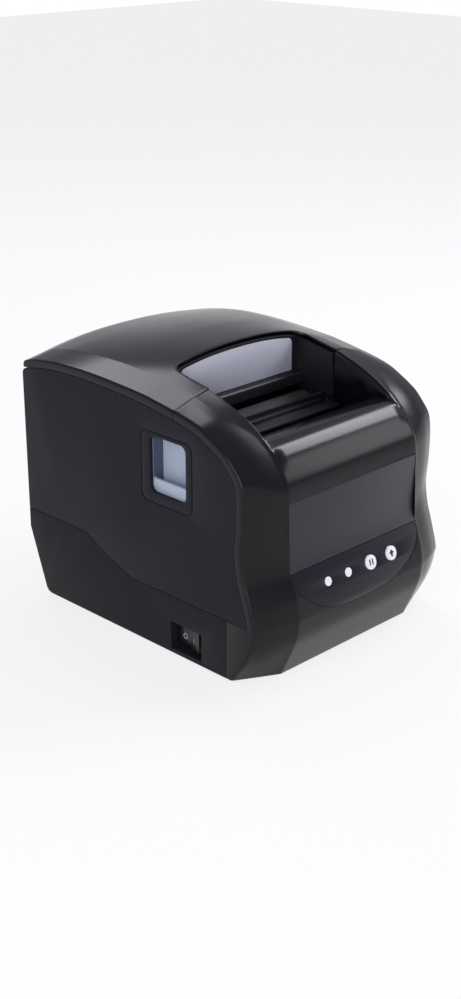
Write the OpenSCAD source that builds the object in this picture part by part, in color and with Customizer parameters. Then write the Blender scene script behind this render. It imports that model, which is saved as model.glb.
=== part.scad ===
// Desktop label printer with a clamshell lid: every length is in millimetres.
// +Z is up, the nose faces -Y, and the origin is the middle of the footprint on the table.

/* [Case] */
// Width over the side panels
body_w = 150; // [148:1:156]
// Depth from the nose to the back wall
body_d = 191.4; // [189:0.2:196]
// Height of the lid's crown above the table
body_h = 156.4; // [155:0.2:160]
// Thickness of the moulded walls
wall = 2.2; // [1.8:0.1:2.4]
// Height of the rubber feet below the case
foot_h = 1; // [0.8:0.1:1.6]
// Height of the band that the covers show beside each side panel
strip_h = 4.4; // [3.6:0.2:5]
// Gap between neighbouring mouldings
seam = 0.4; // [0.3:0.1:0.6]
// Height of the split between base and upper case at the back
split_back_z = 51; // [47:1:54]
// Height of the split between base and upper case at the front
split_front_z = 35; // [33:1:37]

/* [Lid] */
// Half width of the paper exit recess
notch_hw = 48.5; // [47:0.5:49]
// Half width between the lid's two top creases
crease_x = 60; // [58:1:63]
// Thickness of the lid skin
lid_wall = 2; // [1.8:0.1:2.2]
// Radius of the hinge pins
hinge_pin_r = 1.5; // [1.2:0.1:1.6]
// Width of each lid knuckle
knuckle_w = 8; // [6:1:12]
// Thickness of the viewing window
window_t = 1.6; // [1.2:0.2:2]

/* [Print mechanism] */
// Radius of the platen rubber
platen_r = 8; // [7:0.25:8.5]
// Half length of the platen rubber
platen_hl = 41; // [36:1:42]
// Radius of the platen shaft
shaft_r = 3; // [2.5:0.25:3]
// Gap from the platen rubber to the print head
nip = 0.2; // [0.1:0.1:0.4]
// Thickness of the steel chassis plates
plate_t = 1.2; // [1:0.1:1.5]
// Gear module
gear_m = 0.8; // [0.7:0.05:0.8]
// Backlash of each gear pair
backlash = 0.3; // [0.2:0.05:0.4]
// Radius of the motor can
motor_r = 13; // [10:0.5:13]
// Length of the motor can
motor_l = 20; // [16:1:24]
// Radius of the latch shaft
latch_shaft_r = 2; // [1.6:0.1:2.4]
// Running clearance between shafts and their bores
run_fit = 0.05; // [0.02:0.01:0.08]

/* [Label bay] */
// Largest radius of the label roll
roll_r = 42; // [38:1:42]
// Half width of the bay between its side walls
bay_hw = 45.5; // [44:0.5:45.5]
// Inward travel of each roll guide
guide_travel = 30; // [20:1:32]
// Thickness of each roll guide
guide_t = 2; // [1.6:0.2:2.4]

/* [Controls] */
// Radius of each push button
button_r = 4; // [3.5:0.25:4.5]
// Travel of each push button
button_travel = 0.8; // [0.5:0.1:1]
// Radius of each status lens
lens_r = 2.5; // [2:0.25:3]
// Thickness of the front panels
panel_t = 2.4; // [2:0.1:2.8]
// Length of the power rocker
rocker_l = 19; // [17:0.5:19]
// Height of the power rocker
rocker_h = 13; // [11:0.5:13]

/* [Hidden] */
$fn = 48;
EPS = 0.01;

hw = body_w / 2;
back = body_d / 2;
nose = -body_d / 2;
in_x = hw - wall;
floor_z = foot_h;
deck_z = floor_z + wall;
side_top = body_h - 10.7;

// ---------------------------------------------------------------- curves

function spline_at(a, b, c, d, t) =
    0.5 * (2 * b + (c - a) * t + (2 * a - 5 * b + 4 * c - d) * t * t
    + (3 * b - a - 3 * c + d) * t * t * t);
// Points of a smooth curve through every key, n steps between two keys.
function smooth(keys, n) = concat(
    [for (i = [0:len(keys) - 2]) for (k = [0:n - 1])
        spline_at(keys[max(i - 1, 0)], keys[i], keys[i + 1],
            keys[min(i + 2, len(keys) - 1)], k / n)],
    [keys[len(keys) - 1]]);
function unit(v) = v / norm(v);
function rev(a) = [for (i = [len(a) - 1:-1:0]) a[i]];
function arc(c, r, a0, a1, n) = [for (i = [0:n]) let (a = a0 + (a1 - a0) * i / n)
    c + r * [cos(a), sin(a)]];
// A line of (y, z) points moved sideways by d, to the left of its own direction.
function shifted(p, d) = [for (i = [0:len(p) - 1])
    let (t = unit(p[min(i + 1, len(p) - 1)] - p[max(i - 1, 0)])) p[i] + d * [-t[1], t[0]]];

// ---------------------------------------------------------------- key lines of the skin

// Each station of the lid holds (y, z) of: band foot, side edge, crease and crown.
hinge_y = back - 3.5;
hinge_z = side_top - 13;
hinge_round = 3.5;
lid_foot_z = hinge_z + hinge_round + 0.5;
exit_y = back - 96.7;
seam_y = exit_y - 27.6;
seam_z = side_top - 5.6;
front_y = seam_y - seam;
function lid_station(y, edge, crease, crown) =
    [[y, side_top + edge - strip_h], [y, side_top + edge], [y, side_top + crease], [y, body_h + crown]];
lid_tail = [
    [[back - 1.9, lid_foot_z], [back - 0.3, lid_foot_z], [back - 0.25, lid_foot_z],
        [back - 0.2, lid_foot_z]],
    [[back - 3.4, lid_foot_z + 0.1], [back - 0.8, lid_foot_z + 2.8], [back - 0.6, side_top - 4.8],
        [back - 0.6, body_h - 10.6]],
    [[back - 5.6, lid_foot_z + 0.3], [back - 2.8, side_top - 5.2], [back - 2.6, side_top - 2.7],
        [back - 2.4, body_h - 8.4]]];
lid_run = [
    lid_station(back - 10, -3, 0, -7), lid_station(back - 27.7, -0.8, 3.2, -4.5),
    lid_station(back - 49.7, 0, 4.8, -1.9), lid_station(back - 70.7, -0.5, 4.7, -0.3),
    lid_station(exit_y, -1.9, 2.7, 0), lid_station(exit_y - 14, -3.6, 0.8, -3.1),
    lid_station(seam_y, -5.6, -1.1, -6)];
crown_power = 2.3;

// The front cover's lines run back from the bend over the nose, then rise from the split.
bend_y = nose + 19.1;
bend_z = seam_z - 25.3;
function run(t) = front_y + (bend_y - front_y) * t;
function rise(t) = split_front_z + (bend_z - split_front_z) * t;
// Side edge of the front cover, from the lid seam down to the table.
front_edge = [
    [front_y, seam_z], [run(0.231), seam_z - 2.1], [run(0.399), seam_z - 4.3],
    [run(0.525), seam_z - 7], [run(0.672), seam_z - 10.6], [run(0.798), seam_z - 14.4],
    [run(0.903), seam_z - 19.4], [bend_y, bend_z], [nose + 17.6, rise(0.905)],
    [nose + 17.3, rise(0.803)], [nose + 17.6, rise(0.658)], [nose + 18.6, rise(0.492)],
    [nose + 16.8, rise(0.341)], [nose + 13.3, rise(0.202)], [nose + 10.6, rise(0.094)],
    [nose + 9.3, rise(0.03)], [nose + 9.1, split_front_z + 0.3]];
front_edge_low = [
    [nose + 9.3, split_front_z - 0.5], [nose + 11.8, 23.3], [nose + 16.3, 12.9],
    [nose + 25, floor_z]];
// Crease of the front cover: share of the way in from crease_x to the panel, then (y, z).
front_crease = [
    [0, front_y, seam_z + 4.5], [0, run(0.231), seam_z + 1.4], [0.05, run(0.441), seam_z - 1.9],
    [0.45, run(0.609), seam_z - 5.4], [0.82, run(0.756), seam_z - 8.9],
    [0.96, run(0.893), seam_z - 13.5], [1, run(1.011), seam_z - 18.6],
    [1, nose + 13.4, bend_z - 0.2], [1, nose + 9.6, rise(0.899)], [1, nose + 8.7, rise(0.799)],
    [1, nose + 8.7, rise(0.61)], [1, nose + 8.7, rise(0.42)], [1, nose + 7.2, rise(0.325)],
    [1, nose + 4.4, rise(0.229)], [1, nose + 1.8, rise(0.134)], [1, nose + 0.5, rise(0.039)],
    [1, nose + 0.4, split_front_z + 0.3]];
front_crease_low = [
    [1, nose + 0.5, split_front_z - 0.5], [1, nose + 2.2, 24.3], [1, nose + 6.4, 14],
    [1, nose + 12.4, floor_z]];
// Rim of the recess and, below it, the flat middle of the front.
front_rim = [
    [front_y, seam_z + 6.3], [run(0.242), seam_z + 2.7], [run(0.441), seam_z - 0.8],
    [run(0.609), seam_z - 4.2], [run(0.756), seam_z - 8.2], [run(0.893), seam_z - 13],
    [run(1.019), seam_z - 18.2], [nose + 13, bend_z], [nose + 9.2, rise(0.901)],
    [nose + 8.3, rise(0.799)], [nose + 8.3, rise(0.61)], [nose + 8.3, rise(0.42)],
    [nose + 6.8, rise(0.325)], [nose + 4, rise(0.229)], [nose + 1.4, rise(0.134)],
    [nose + 0.1, rise(0.039)], [nose, split_front_z + 0.3]];
front_rim_low = [
    [nose + 0.1, split_front_z - 0.5], [nose + 1.8, 24.3], [nose + 6, 14],
    [nose + 12, floor_z]];
// Bottom of the recess walls, then the rounded brow that the labels pass over.
brow_y = run(0.504);
brow_z = side_top - 22.7;
front_floor = concat([
    [front_y, brow_z - 10], [run(0.252), brow_z - 10], [brow_y, brow_z], [run(0.641), brow_z + 2.7],
    [run(0.746), brow_z + 3.6], [run(0.861), brow_z + 3.3], [run(1.008), brow_z],
    [nose + 13.1, bend_z + 0.2]],
    [for (i = [8:len(front_rim) - 1]) front_rim[i]]);

// Foot of the band that the front cover shows beside the side panel.
front_foot = [for (p = shifted(front_edge, strip_h)) [min(p[0], front_y), p[1]]];
cover_split_y = nose + 28.7;
front_foot_low = [for (p = front_edge_low) [cover_split_y, p[1] + 0.1]];

steps = 3;
edge_steps = 3;

// Outline of the side panel: under the lid band and behind the front cover's band.
lid_foot_line = smooth([for (s = lid_run) s[0]], edge_steps);
front_foot_line = smooth(front_foot, edge_steps);
split_line = smooth([
    [back, split_back_z], [back - 46.7, split_back_z], [back - 52.7, split_back_z - 1],
    [back - 63.7, split_back_z - 6.5], [back - 75.7, split_front_z + 4.7],
    [back - 87.7, split_front_z + 0.6], [back - 92.7, split_front_z]], edge_steps);

// The bottom corner of the case: straight foot, slanted back.
heel_y = back - 15.5;
heel_top_z = 39;

// ---------------------------------------------------------------- solids from curves

// A (y, z) outline extruded along x between x0 and x1.
module prism(outline, x0, x1) {
    translate([x0, 0, 0]) rotate([90, 0, 90]) linear_extrude(x1 - x0) polygon(outline);
}
// A box between two corners.
module slab(a, b) {
    translate(a) cube(b - a);
}
// A round bar along x.
module bar(r, x0, x1, yz) {
    translate([x0, yz[0], yz[1]]) rotate([0, 90, 0]) cylinder(r = r, h = x1 - x0);
}
// Both sides of the machine.
module both_sides() {
    children();
    mirror([1, 0, 0]) children();
}

function point3(x, p) = [x, p[0], p[1]];
function mirrored(row) = concat(row, [for (i = [len(row) - 2:-1:0]) [-row[i][0], row[i][1], row[i][2]]]);
function clamp(i, n) = max(0, min(n - 1, i));
// Step from a skin point to the inside of a 1 mm skin, mitred where the side meets the top.
function inset(g, i, j) =
    let (n = len(g), m = len(g[0]), side = [j < m / 2 ? -1 : 1, 0, 0],
        du = g[clamp(i + 1, n)][j] - g[clamp(i - 1, n)][j],
        dv = g[i][j == m - 2 ? j : clamp(j + 1, m)] - g[i][j == 1 ? j : clamp(j - 1, m)],
        corner = j == 1 || j == m - 2 ? 1 : 0)
    j == 0 || j == m - 1 ? side : unit(cross(du, dv)) + corner * side;
// A closed sheet: the grid g of skin points, and the same grid set t inwards.
module sheet(g, t) {
    n = len(g);
    m = len(g[0]);
    inner = [for (i = [0:n - 1]) [for (j = [0:m - 1]) g[i][j] + t * inset(g, i, j)]];
    points = concat([for (r = g) each r], [for (r = inner) each r]);
    k = n * m;
    quads = concat(
        [for (i = [0:n - 2]) for (j = [0:m - 2]) let (a = i * m + j) [a, a + 1, a + m + 1, a + m]],
        [for (i = [0:n - 2]) for (j = [0:m - 2]) let (a = k + i * m + j)
            [a, a + m, a + m + 1, a + 1]],
        [for (i = [0:n - 2]) let (a = i * m) [a, a + m, a + m + k, a + k]],
        [for (i = [0:n - 2]) let (a = i * m + m - 1) [a, a + k, a + m + k, a + m]],
        [for (j = [0:m - 2]) [j, j + k, j + k + 1, j + 1]],
        [for (j = [0:m - 2]) let (a = (n - 1) * m + j) [a, a + 1, a + k + 1, a + k]]);
    faces = [for (q = quads) each [[q[0], q[2], q[1]], [q[0], q[3], q[2]]]];
    polyhedron(points, faces);
}

// ---------------------------------------------------------------- lid

crown_x = [1, 0.87, 0.73, 0.55, 0.37, 0.18, 0];
function lid_row(s) = mirrored(concat(
    [point3(hw, s[0]), point3(hw, s[1])],
    [for (u = crown_x) let (w = 1 - pow(u, crown_power))
        point3(crease_x * u, s[2] * (1 - w) + s[3] * w)]));
lid_stations = concat(lid_tail, smooth(lid_run, steps));
lid_grid = [for (s = lid_stations) lid_row(s)];

exit_corner_r = 7;
rim_step = 0.9;
module exit_cut(grow, z0) {
    r = exit_corner_r;
    w = notch_hw + grow;
    translate([0, 0, z0]) linear_extrude(body_h) union() {
        translate([-w, -3 * hw]) square([2 * w, 3 * hw + exit_y + grow - r]);
        translate([-w + r, -hw]) square([2 * (w - r), hw + exit_y + grow]);
        for (s = [-1, 1]) translate([s * (w - r), exit_y + grow - r]) circle(r);
    }
}

module lid_cover() {
    color("#17171b") difference() {
        sheet(lid_grid, lid_wall);
        exit_cut(rim_step, brow_z);
    }
}

// Round steel pins that the lid turns on, and the frame that hangs under the lid cover.
knuckle_x = notch_hw + 1.5;
hinge_gap = 0.4;
ear_w = 3;
ear_r = hinge_round - 0.4;
frame_t = 2.5;
frame_x0 = notch_hw + 0.2;
frame_x1 = frame_x0 + frame_t;
platen_y = exit_y - 12;
platen_z = side_top - 32.7;
platen_c = [platen_y, platen_z];
bush_r = shaft_r + 1.2;
bar_top_z = side_top - 16.5;
bar_face_y = exit_y - 5.2;
bar_z0 = bar_top_z - 6.5;
window_hw = notch_hw - 5;
window_r = 4;

// Height of the lid's skin over (x, y).
function crown_of(y, list, k) =
    let (i = [for (a = [0:len(list) - 2]) if (list[a][2][0] >= y && list[a + 1][2][0] <= y) a][0],
        a = list[i], b = list[i + 1], t = (y - a[2][0]) / (b[2][0] - a[2][0]))
    a[k][1] + (b[k][1] - a[k][1]) * t;
function lid_z(x, y) = let (u = abs(x) / crease_x, t = (abs(x) - crease_x) / (hw - crease_x),
        w = u < 1 ? 1 - pow(u, crown_power) : t)
    crown_of(y, lid_stations, 2) * (1 - w) + crown_of(y, lid_stations, u < 1 ? 3 : 1) * w;
lid_under = lid_wall + 0.5;

module hinge_pins() {
    color("#b9bcc2") both_sides()
        bar(hinge_pin_r, knuckle_x - knuckle_w / 2 - ear_w, knuckle_x + knuckle_w / 2 + ear_w,
            [hinge_y, hinge_z]);
}

// Under-lid frame: two side plates that line the recess, the back wall of the recess,
// the cross bar over the platen, and the knuckles of the hinge.
arm_steps = [for (d = [26, 21, 14, 7, 0]) exit_y - d];
arm_tail = [exit_y + 12, back - 65.7, back - 45.7, back - 25.7, hinge_y - 4];
function under_line(ys) = [for (y = ys) [y, lid_z(frame_x1, y) - lid_under]];
frame_outline = concat(
    [[hinge_y - 1, hinge_z - 2.6], [hinge_y - 9, hinge_z - 6], [platen_y + 22, platen_z + 11],
        [platen_y + 9, platen_z + 5], [platen_y + 6, platen_z - 6.5],
        [platen_y - 5, platen_z - 6.5], [platen_y - 6.5, platen_z + 3],
        [seam_y + 0.4, brow_z - 3]],
    under_line(arm_steps), under_line(arm_tail), [[hinge_y, hinge_z + 2.8]]);
wall_y0 = exit_y + 0.2;
recess_wall_t = window_t + 1.2;
module recess_back() {
    y1 = wall_y0 + recess_wall_t;
    top = [for (i = [-8:8]) let (x = i * frame_x1 / 8) [x, lid_z(x, y1) - lid_under]];
    difference() {
        translate([0, y1, 0]) rotate([90, 0, 0]) linear_extrude(recess_wall_t)
            polygon(concat(top, [[frame_x1, bar_z0], [-frame_x1, bar_z0]]));
        translate([0, wall_y0 + window_t + 0.1, 0]) rotate([90, 0, 0])
            linear_extrude(window_t + 1) window_shape(0.15);
        translate([0, y1 + 1, 0]) rotate([90, 0, 0]) linear_extrude(recess_wall_t + 2)
            window_shape(-1.2);
    }
}
// Arched window outline in (x, z), grown by g.
module window_shape(g) {
    w = window_hw + g;
    n = 12;
    arch = [for (i = [0:n]) let (x = w - window_r - 2 * (w - window_r) * i / n)
        [x, lid_z(x, exit_y) - lid_under - 1.6 + g]];
    left = arc([-w + window_r, arch[n][1] - window_r], window_r, 90, 180, 5);
    right = arc([w - window_r, arch[0][1] - window_r], window_r, 0, 90, 5);
    polygon(concat([[w, bar_top_z + 0.3 - g]], right, arch, left, [[-w, bar_top_z + 0.3 - g]]));
}
module lid_window() {
    color([0.5, 0.5, 0.55, 0.6]) translate([0, wall_y0 + window_t, 0]) rotate([90, 0, 0])
        linear_extrude(window_t) window_shape(0);
}

module lid_frame() {
    color("#141418") difference() {
        union() {
            for (s = [-1, 1])
                prism(frame_outline, s > 0 ? frame_x0 : -frame_x1, s > 0 ? frame_x1 : -frame_x0);
            recess_back();
            prism([[bar_face_y, bar_z0], [bar_face_y, bar_top_z - 0.8], [bar_face_y + 0.8, bar_top_z],
                [wall_y0 + EPS, bar_top_z], [wall_y0 + EPS, bar_top_z - 2],
                [bar_face_y + 2, bar_top_z - 2], [bar_face_y + 2, bar_z0]], -frame_x1, frame_x1);
            both_sides() bar(hinge_round - 0.5, knuckle_x - knuckle_w / 2,
                knuckle_x + knuckle_w / 2, [hinge_y, hinge_z]);
            both_sides() frame_boss();
        }
        both_sides() {
            bar(hinge_pin_r + run_fit, frame_x0 - 9, frame_x1 + 9, [hinge_y, hinge_z]);
            bar(bush_r, frame_x0 - 1, frame_x1 + 1, platen_c);
            for (y = lid_screw_y) translate([lid_screw_x, y, 0]) cylinder(r = screw_r, h = body_h);
        }
    }
}
// Pads beside each arm that the lid cover's screws go into.
lid_screw_y = [exit_y + 15, back - 21.7];
lid_screw_x = frame_x1 + 4;
screw_r = 1.25;
module frame_boss() {
    for (y = lid_screw_y) {
        z = lid_z(lid_screw_x + 4, y) - lid_under;
        translate([0, 0, z - 6]) linear_extrude(6) union() {
            translate([frame_x1 - 1, y - 4]) square([5, 8]);
            translate([lid_screw_x, y]) circle(4);
        }
    }
}
module lid_screws() {
    color("#8d9096") both_sides() for (y = lid_screw_y) {
        z = lid_z(lid_screw_x + 4, y) - lid_under - 6;
        translate([lid_screw_x, y, z - 1.6]) cylinder(r = 2.4, h = 1.6);
        translate([lid_screw_x, y, z - EPS]) cylinder(r = screw_r - 0.02, h = 5.5);
    }
}

// ---------------------------------------------------------------- front cover

panel_hw = notch_hw + 2.1;
shoulder_x = panel_hw + seam;
function front_row(e, f, crease, c, b) =
    let (k = [crease[1], crease[2]], inner = shoulder_x + 1,
        x = crease_x + (inner - crease_x) * crease[0],
        t = (shoulder_x - notch_hw) / (x - notch_hw), s = norm(c - b) < 3 ? c : c + (k - c) * t)
    mirrored([point3(hw, f), point3(hw, e),
        point3((hw + x) / 2, (e + k) / 2 + (hw - x) * [-0.045, 0.02]), point3(x, k),
        point3(shoulder_x, s), point3(notch_hw + rim_step, c), point3(notch_hw, b),
        point3(notch_hw / 2, b), point3(0, b)]);
function rows(e, f, k, c, b) =
    [for (i = [0:len(e) - 1]) front_row(e[i], f[i], k[i], c[i], b[i])];
front_grid = concat(
    rows(smooth(front_edge, steps), smooth(front_foot, steps), smooth(front_crease, steps),
        smooth(front_rim, steps), smooth(front_floor, steps)),
    rows(smooth(front_edge_low, steps), smooth(front_foot_low, steps),
        smooth(front_crease_low, steps), smooth(front_rim_low, steps),
        smooth(front_rim_low, steps)));

// Outline in (x, z) of the panel let into the front, grown by g.
panel_top_z = rise(0.8045);
panel_low_z = split_front_z - 1.8;
module panel_shape(g) {
    side = [[panel_hw + g, panel_low_z + 28], [panel_hw - 1 + g, panel_low_z + 20],
        [panel_hw - 9 + g, panel_low_z + 11 - g * 0.7], [panel_hw - 22, panel_low_z + 3.8 - g],
        [panel_hw - 36, panel_low_z + 0.8 - g], [0, panel_low_z - g]];
    right = smooth(side, 4);
    polygon(concat([[panel_hw + g, panel_top_z + g]], right,
        [for (i = [len(right) - 2:-1:0]) [-right[i][0], right[i][1]]],
        [[-panel_hw - g, panel_top_z + g]]));
}
module through_front(g) {
    translate([0, nose + 40, 0]) rotate([90, 0, 0]) linear_extrude(60) panel_shape(g);
}
module front_cover() {
    color("#1b1b22") difference() {
        sheet(front_grid, wall);
        slab([-notch_hw + EPS, brow_y, brow_z - 30], [notch_hw - EPS, seam_y + 2, body_h]);
        slab([-hw - 1, front_y, lid_foot_z], [hw + 1, seam_y + 4, body_h]);
        through_front(0.2);
    }
}
// The front's middle line, skin side, between two heights.
front_line = concat(smooth([for (i = [8:len(front_rim) - 1]) front_rim[i]], 4),
    smooth(front_rim_low, 3));
function between(z0, z1) = [for (p = front_line) if (p[1] <= z1 && p[1] >= z0) p];
function line_y(z) = let (i = [for (a = [0:len(front_line) - 2])
        if (front_line[a][1] >= z && front_line[a + 1][1] < z) a][0],
        a = front_line[i], b = front_line[i + 1]) a[0] + (b[0] - a[0]) * (a[1] - z) / (a[1] - b[1]);
function panel_outline(z0, z1) =
    let (p = concat([[line_y(z1), z1]], between(z0, z1), [[line_y(z0), z0]]))
    concat(p, rev(shifted(p, panel_t)));

// ---------------------------------------------------------------- case

// Side panel outline: hinge corner, under the lid band, behind the front band, split line.
panel_foot = shifted(lid_foot_line, seam);
panel_front = shifted(front_foot_line, seam);
hinge_c = [hinge_y, hinge_z];
panel_outline_pts = concat(
    arc(hinge_c, hinge_round, 0, 90, 8),
    [for (p = panel_foot) if (p[0] < hinge_y - 2.5 && p[0] > seam_y) p],
    [for (p = panel_front) if (p[0] < seam_y && p[1] > split_front_z + 1) p],
    [[panel_front[len(panel_front) - 1][0], split_front_z]],
    rev(split_line), [[back, hinge_z]]);
base_top = shifted(split_line, seam);
base_outline_pts = concat(
    [[cover_split_y + seam, floor_z], [heel_y - 1, floor_z], [heel_y + 1.2, floor_z + 0.7],
        [back - 12.6, floor_z + 2.6], [back, heel_top_z], [back, split_back_z - seam]],
    base_top, [[cover_split_y + seam, split_front_z - seam]]);

post_x = in_x - 3.2;
post_r = 3.8;
post_back_y = back - 23.7;
post_front_y = cover_split_y + 17;
post_back_z = split_back_z - 6;
post_front_z = split_front_z - 6;
post_rise = 22;
base_screw_r = 1.5;

latch_c = platen_c - [18.5, 32];
cup_y0 = latch_c[0] - 5.9;
cup_y1 = latch_c[0] + 21.5;
cup_z0 = latch_c[1] + 10.2;
cup_z1 = latch_c[1] + 42.1;
cup_r = 4;
frame_margin = 5;
module rounded(a, b, r) {
    // rounded rectangle between two corners of the (y, z) plane
    for (x = [a[0] + r, b[0] - r], y = [a[1] + r, b[1] - r]) translate([x, y]) circle(r);
    translate([a[0] + r, a[1]]) square([b[0] - a[0] - 2 * r, b[1] - a[1]]);
    translate([a[0], a[1] + r]) square([b[0] - a[0], b[1] - a[1] - 2 * r]);
}
// Cut into the left side from outside, down to depth d.
module left_cut(d) {
    translate([-hw - 1, 0, 0]) rotate([90, 0, 90]) linear_extrude(d + 1) children();
}
bin_t = 2;
bin_wall_t = 2;
rack_z0 = 17;
rack_h = 5;
roll_c = [back - wall - 4.5 - bin_t - roll_r, rack_z0 + rack_h + 2 + bin_t + roll_r];
bin_y0 = roll_c[0] - roll_r - bin_t;
deck_top = side_top - 34.3;
deck_t = 2;
deck_y0 = bin_y0 + 7;
ledge_w = 3;
module upper_case() {
    color("#2a292e") difference() {
        union() {
            difference() {
                prism(panel_outline_pts, -hw, hw);
                prism([[-hw * 2, 0], [back - wall, 0], [back - wall, body_h * 2],
                    [-hw * 2, body_h * 2]], -in_x, in_x);
            }
            // hinge ears on the back wall
            both_sides() for (x = [knuckle_x - knuckle_w / 2 - hinge_gap - ear_w,
                    knuckle_x + knuckle_w / 2 + hinge_gap]) {
                bar(ear_r, x, x + ear_w, hinge_c);
                prism([[hinge_y - ear_r, hinge_z], [hinge_y - ear_r, hinge_z - 6],
                    [back - 1, hinge_z - 18], [back - 1, hinge_z]], x, x + ear_w);
            }
            both_sides() {
                // screw towers and the ledges under the deck
                translate([post_x, post_back_y, post_back_z + 0.1])
                    cylinder(r = post_r, h = post_rise);
                translate([post_x, post_front_y, post_front_z + 0.1])
                    cylinder(r = post_r, h = post_rise);
                slab([in_x - ledge_w, deck_y0 + 2, deck_top - deck_t - 2.1],
                    [in_x + EPS, back - wall + EPS, deck_top - deck_t - 0.1]);
            }
        }
        // clearance for the lid knuckles
        both_sides() slab([knuckle_x - knuckle_w / 2 - hinge_gap, back - wall - 6, hinge_z - 3.4],
            [knuckle_x + knuckle_w / 2 + hinge_gap, back + 1, hinge_z + 9]);
        both_sides() bar(hinge_pin_r + 0.02, knuckle_x - 12, knuckle_x + 12, hinge_c);
        both_sides() for (p = [[post_back_y, post_back_z], [post_front_y, post_front_z]])
            translate([post_x, p[0], p[1]]) cylinder(r = base_screw_r + 0.02, h = 16);
        // room for the base's wall beside the foot of each tower
        both_sides() for (p = [[post_back_y, post_back_z], [post_front_y, post_front_z]])
            slab([in_x - 0.15, p[0] - post_r - 1, p[1]], [in_x + 1, p[0] + post_r + 1, p[1] + 6]);
        // window for the release lever, and the shadow groove round it
        left_cut(wall + 1) rounded([cup_y0, cup_z0], [cup_y1, cup_z1], cup_r);
        left_cut(0.5) difference() {
            rounded([cup_y0 - frame_margin, cup_z0 - frame_margin - 1],
                [cup_y1 + frame_margin + 2, cup_z1 + 2.5], cup_r + 1);
            rounded([cup_y0 - frame_margin + 0.8, cup_z0 - frame_margin - 0.2],
                [cup_y1 + frame_margin + 1.2, cup_z1 + 1.7], cup_r + 0.2);
        }
    }
}

switch_y0 = cover_split_y + 19;
switch_y1 = switch_y0 + rocker_l + 4.8;
switch_z0 = floor_z + 2.6;
switch_z1 = switch_z0 + rocker_h + 3;
switch_depth = 5.7;
switch_c = [(switch_y0 + switch_y1) / 2, (switch_z0 + switch_z1) / 2];
board_x0 = 20.8 - in_x;
board_x1 = in_x - 16.8;
tray_x0 = board_x0 + 6;
tray_x1 = tray_x0 + 40;
tray_z0 = 8;
tray_z1 = 30;
tray_y = back - 15.7;
plate_x0 = frame_x1 + 3;
plate_x1 = plate_x0 + plate_t;
chassis_y0 = platen_y - 34;
chassis_y1 = platen_y + 13;
chassis_foot_z = 30;
chassis_post = [[plate_x0 - 13.7, chassis_y0 + 3.6], [plate_x0 - 13.7, chassis_y1 - 6]];
board_z = 9;
board_t = 1.6;
board_y0 = back - 91.7;
board_y1 = tray_y - 2;
board_post = [[board_x0 + 5, board_y0 + 5], [board_x1 - 5, board_y0 + 5],
    [board_x0 + 3, board_y1 - 14], [board_x1 - 5, board_y1 - 5]];
foot_x = hw - 19;
foot_y = [cover_split_y + 11, back - 31.7];
foot_r = 7;
module base_inner() {
    // the same outline, one wall smaller and open at the top
    prism([[cover_split_y - 30, deck_z], [heel_y - 1.6, deck_z], [back - wall - 0.5, heel_top_z + 0.3],
        [back - wall, split_back_z + 20], [cover_split_y - 30, split_back_z + 20]], -in_x, in_x);
}
module base_case() {
    color("#232226") difference() {
        union() {
            difference() {
                prism(base_outline_pts, -hw, hw);
                base_inner();
            }
            // tongue of the floor that runs forward inside the front cover
            slab([-in_x + 5, nose + 24, deck_z - 1.6], [in_x - 5, cover_split_y + 3, deck_z]);
            both_sides() {
                translate([post_x, post_back_y, deck_z - EPS])
                    cylinder(r = post_r, h = post_back_z - deck_z);
                translate([post_x, post_front_y, deck_z - EPS])
                    cylinder(r = post_r, h = post_front_z - deck_z);
                for (p = chassis_post) translate([p[0], p[1], deck_z - EPS])
                    cylinder(r = 4, h = chassis_foot_z - deck_z);
            }
            for (p = board_post) translate([p[0], p[1], deck_z - EPS])
                cylinder(r = 3, h = board_z - deck_z);
            // box round the power switch recess
            slab([-in_x - EPS, switch_y0 - 1.6, deck_z - 1], [-hw + switch_depth + 1.6,
                switch_y1 + 1.6, switch_z1 + 1.6]);
        }
        left_cut(switch_depth) rounded([switch_y0, switch_z0], [switch_y1, switch_z1], 0.8);
        left_cut(switch_depth + 4) translate([switch_c[0], switch_c[1]])
            square([rocker_l + 1.4, rocker_h + 1.4], center = true);
        both_sides() for (p = [[post_back_y, post_back_z], [post_front_y, post_front_z]])
            translate([post_x, p[0], 0]) {
                cylinder(r = base_screw_r + 0.1, h = p[1] + 1);
                cylinder(r = 2.9, h = p[1] - 5);
            }
        both_sides() for (p = chassis_post) translate([p[0], p[1], chassis_foot_z - 10])
            cylinder(r = screw_r, h = 12);
        for (p = board_post) translate([p[0], p[1], deck_z]) cylinder(r = screw_r - 0.2, h = 12);
        slab([tray_x0 - 1.4, tray_y - 0.3, tray_z0 - 1.4], [tray_x1 + 1.4, back + 1, tray_z1 + 1.4]);
        for (y = foot_y) both_sides() translate([foot_x, y, 0]) cylinder(r = foot_r + 0.2, h = foot_h + 1);
    }
}

// ---------------------------------------------------------------- front panel and buttons

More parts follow.
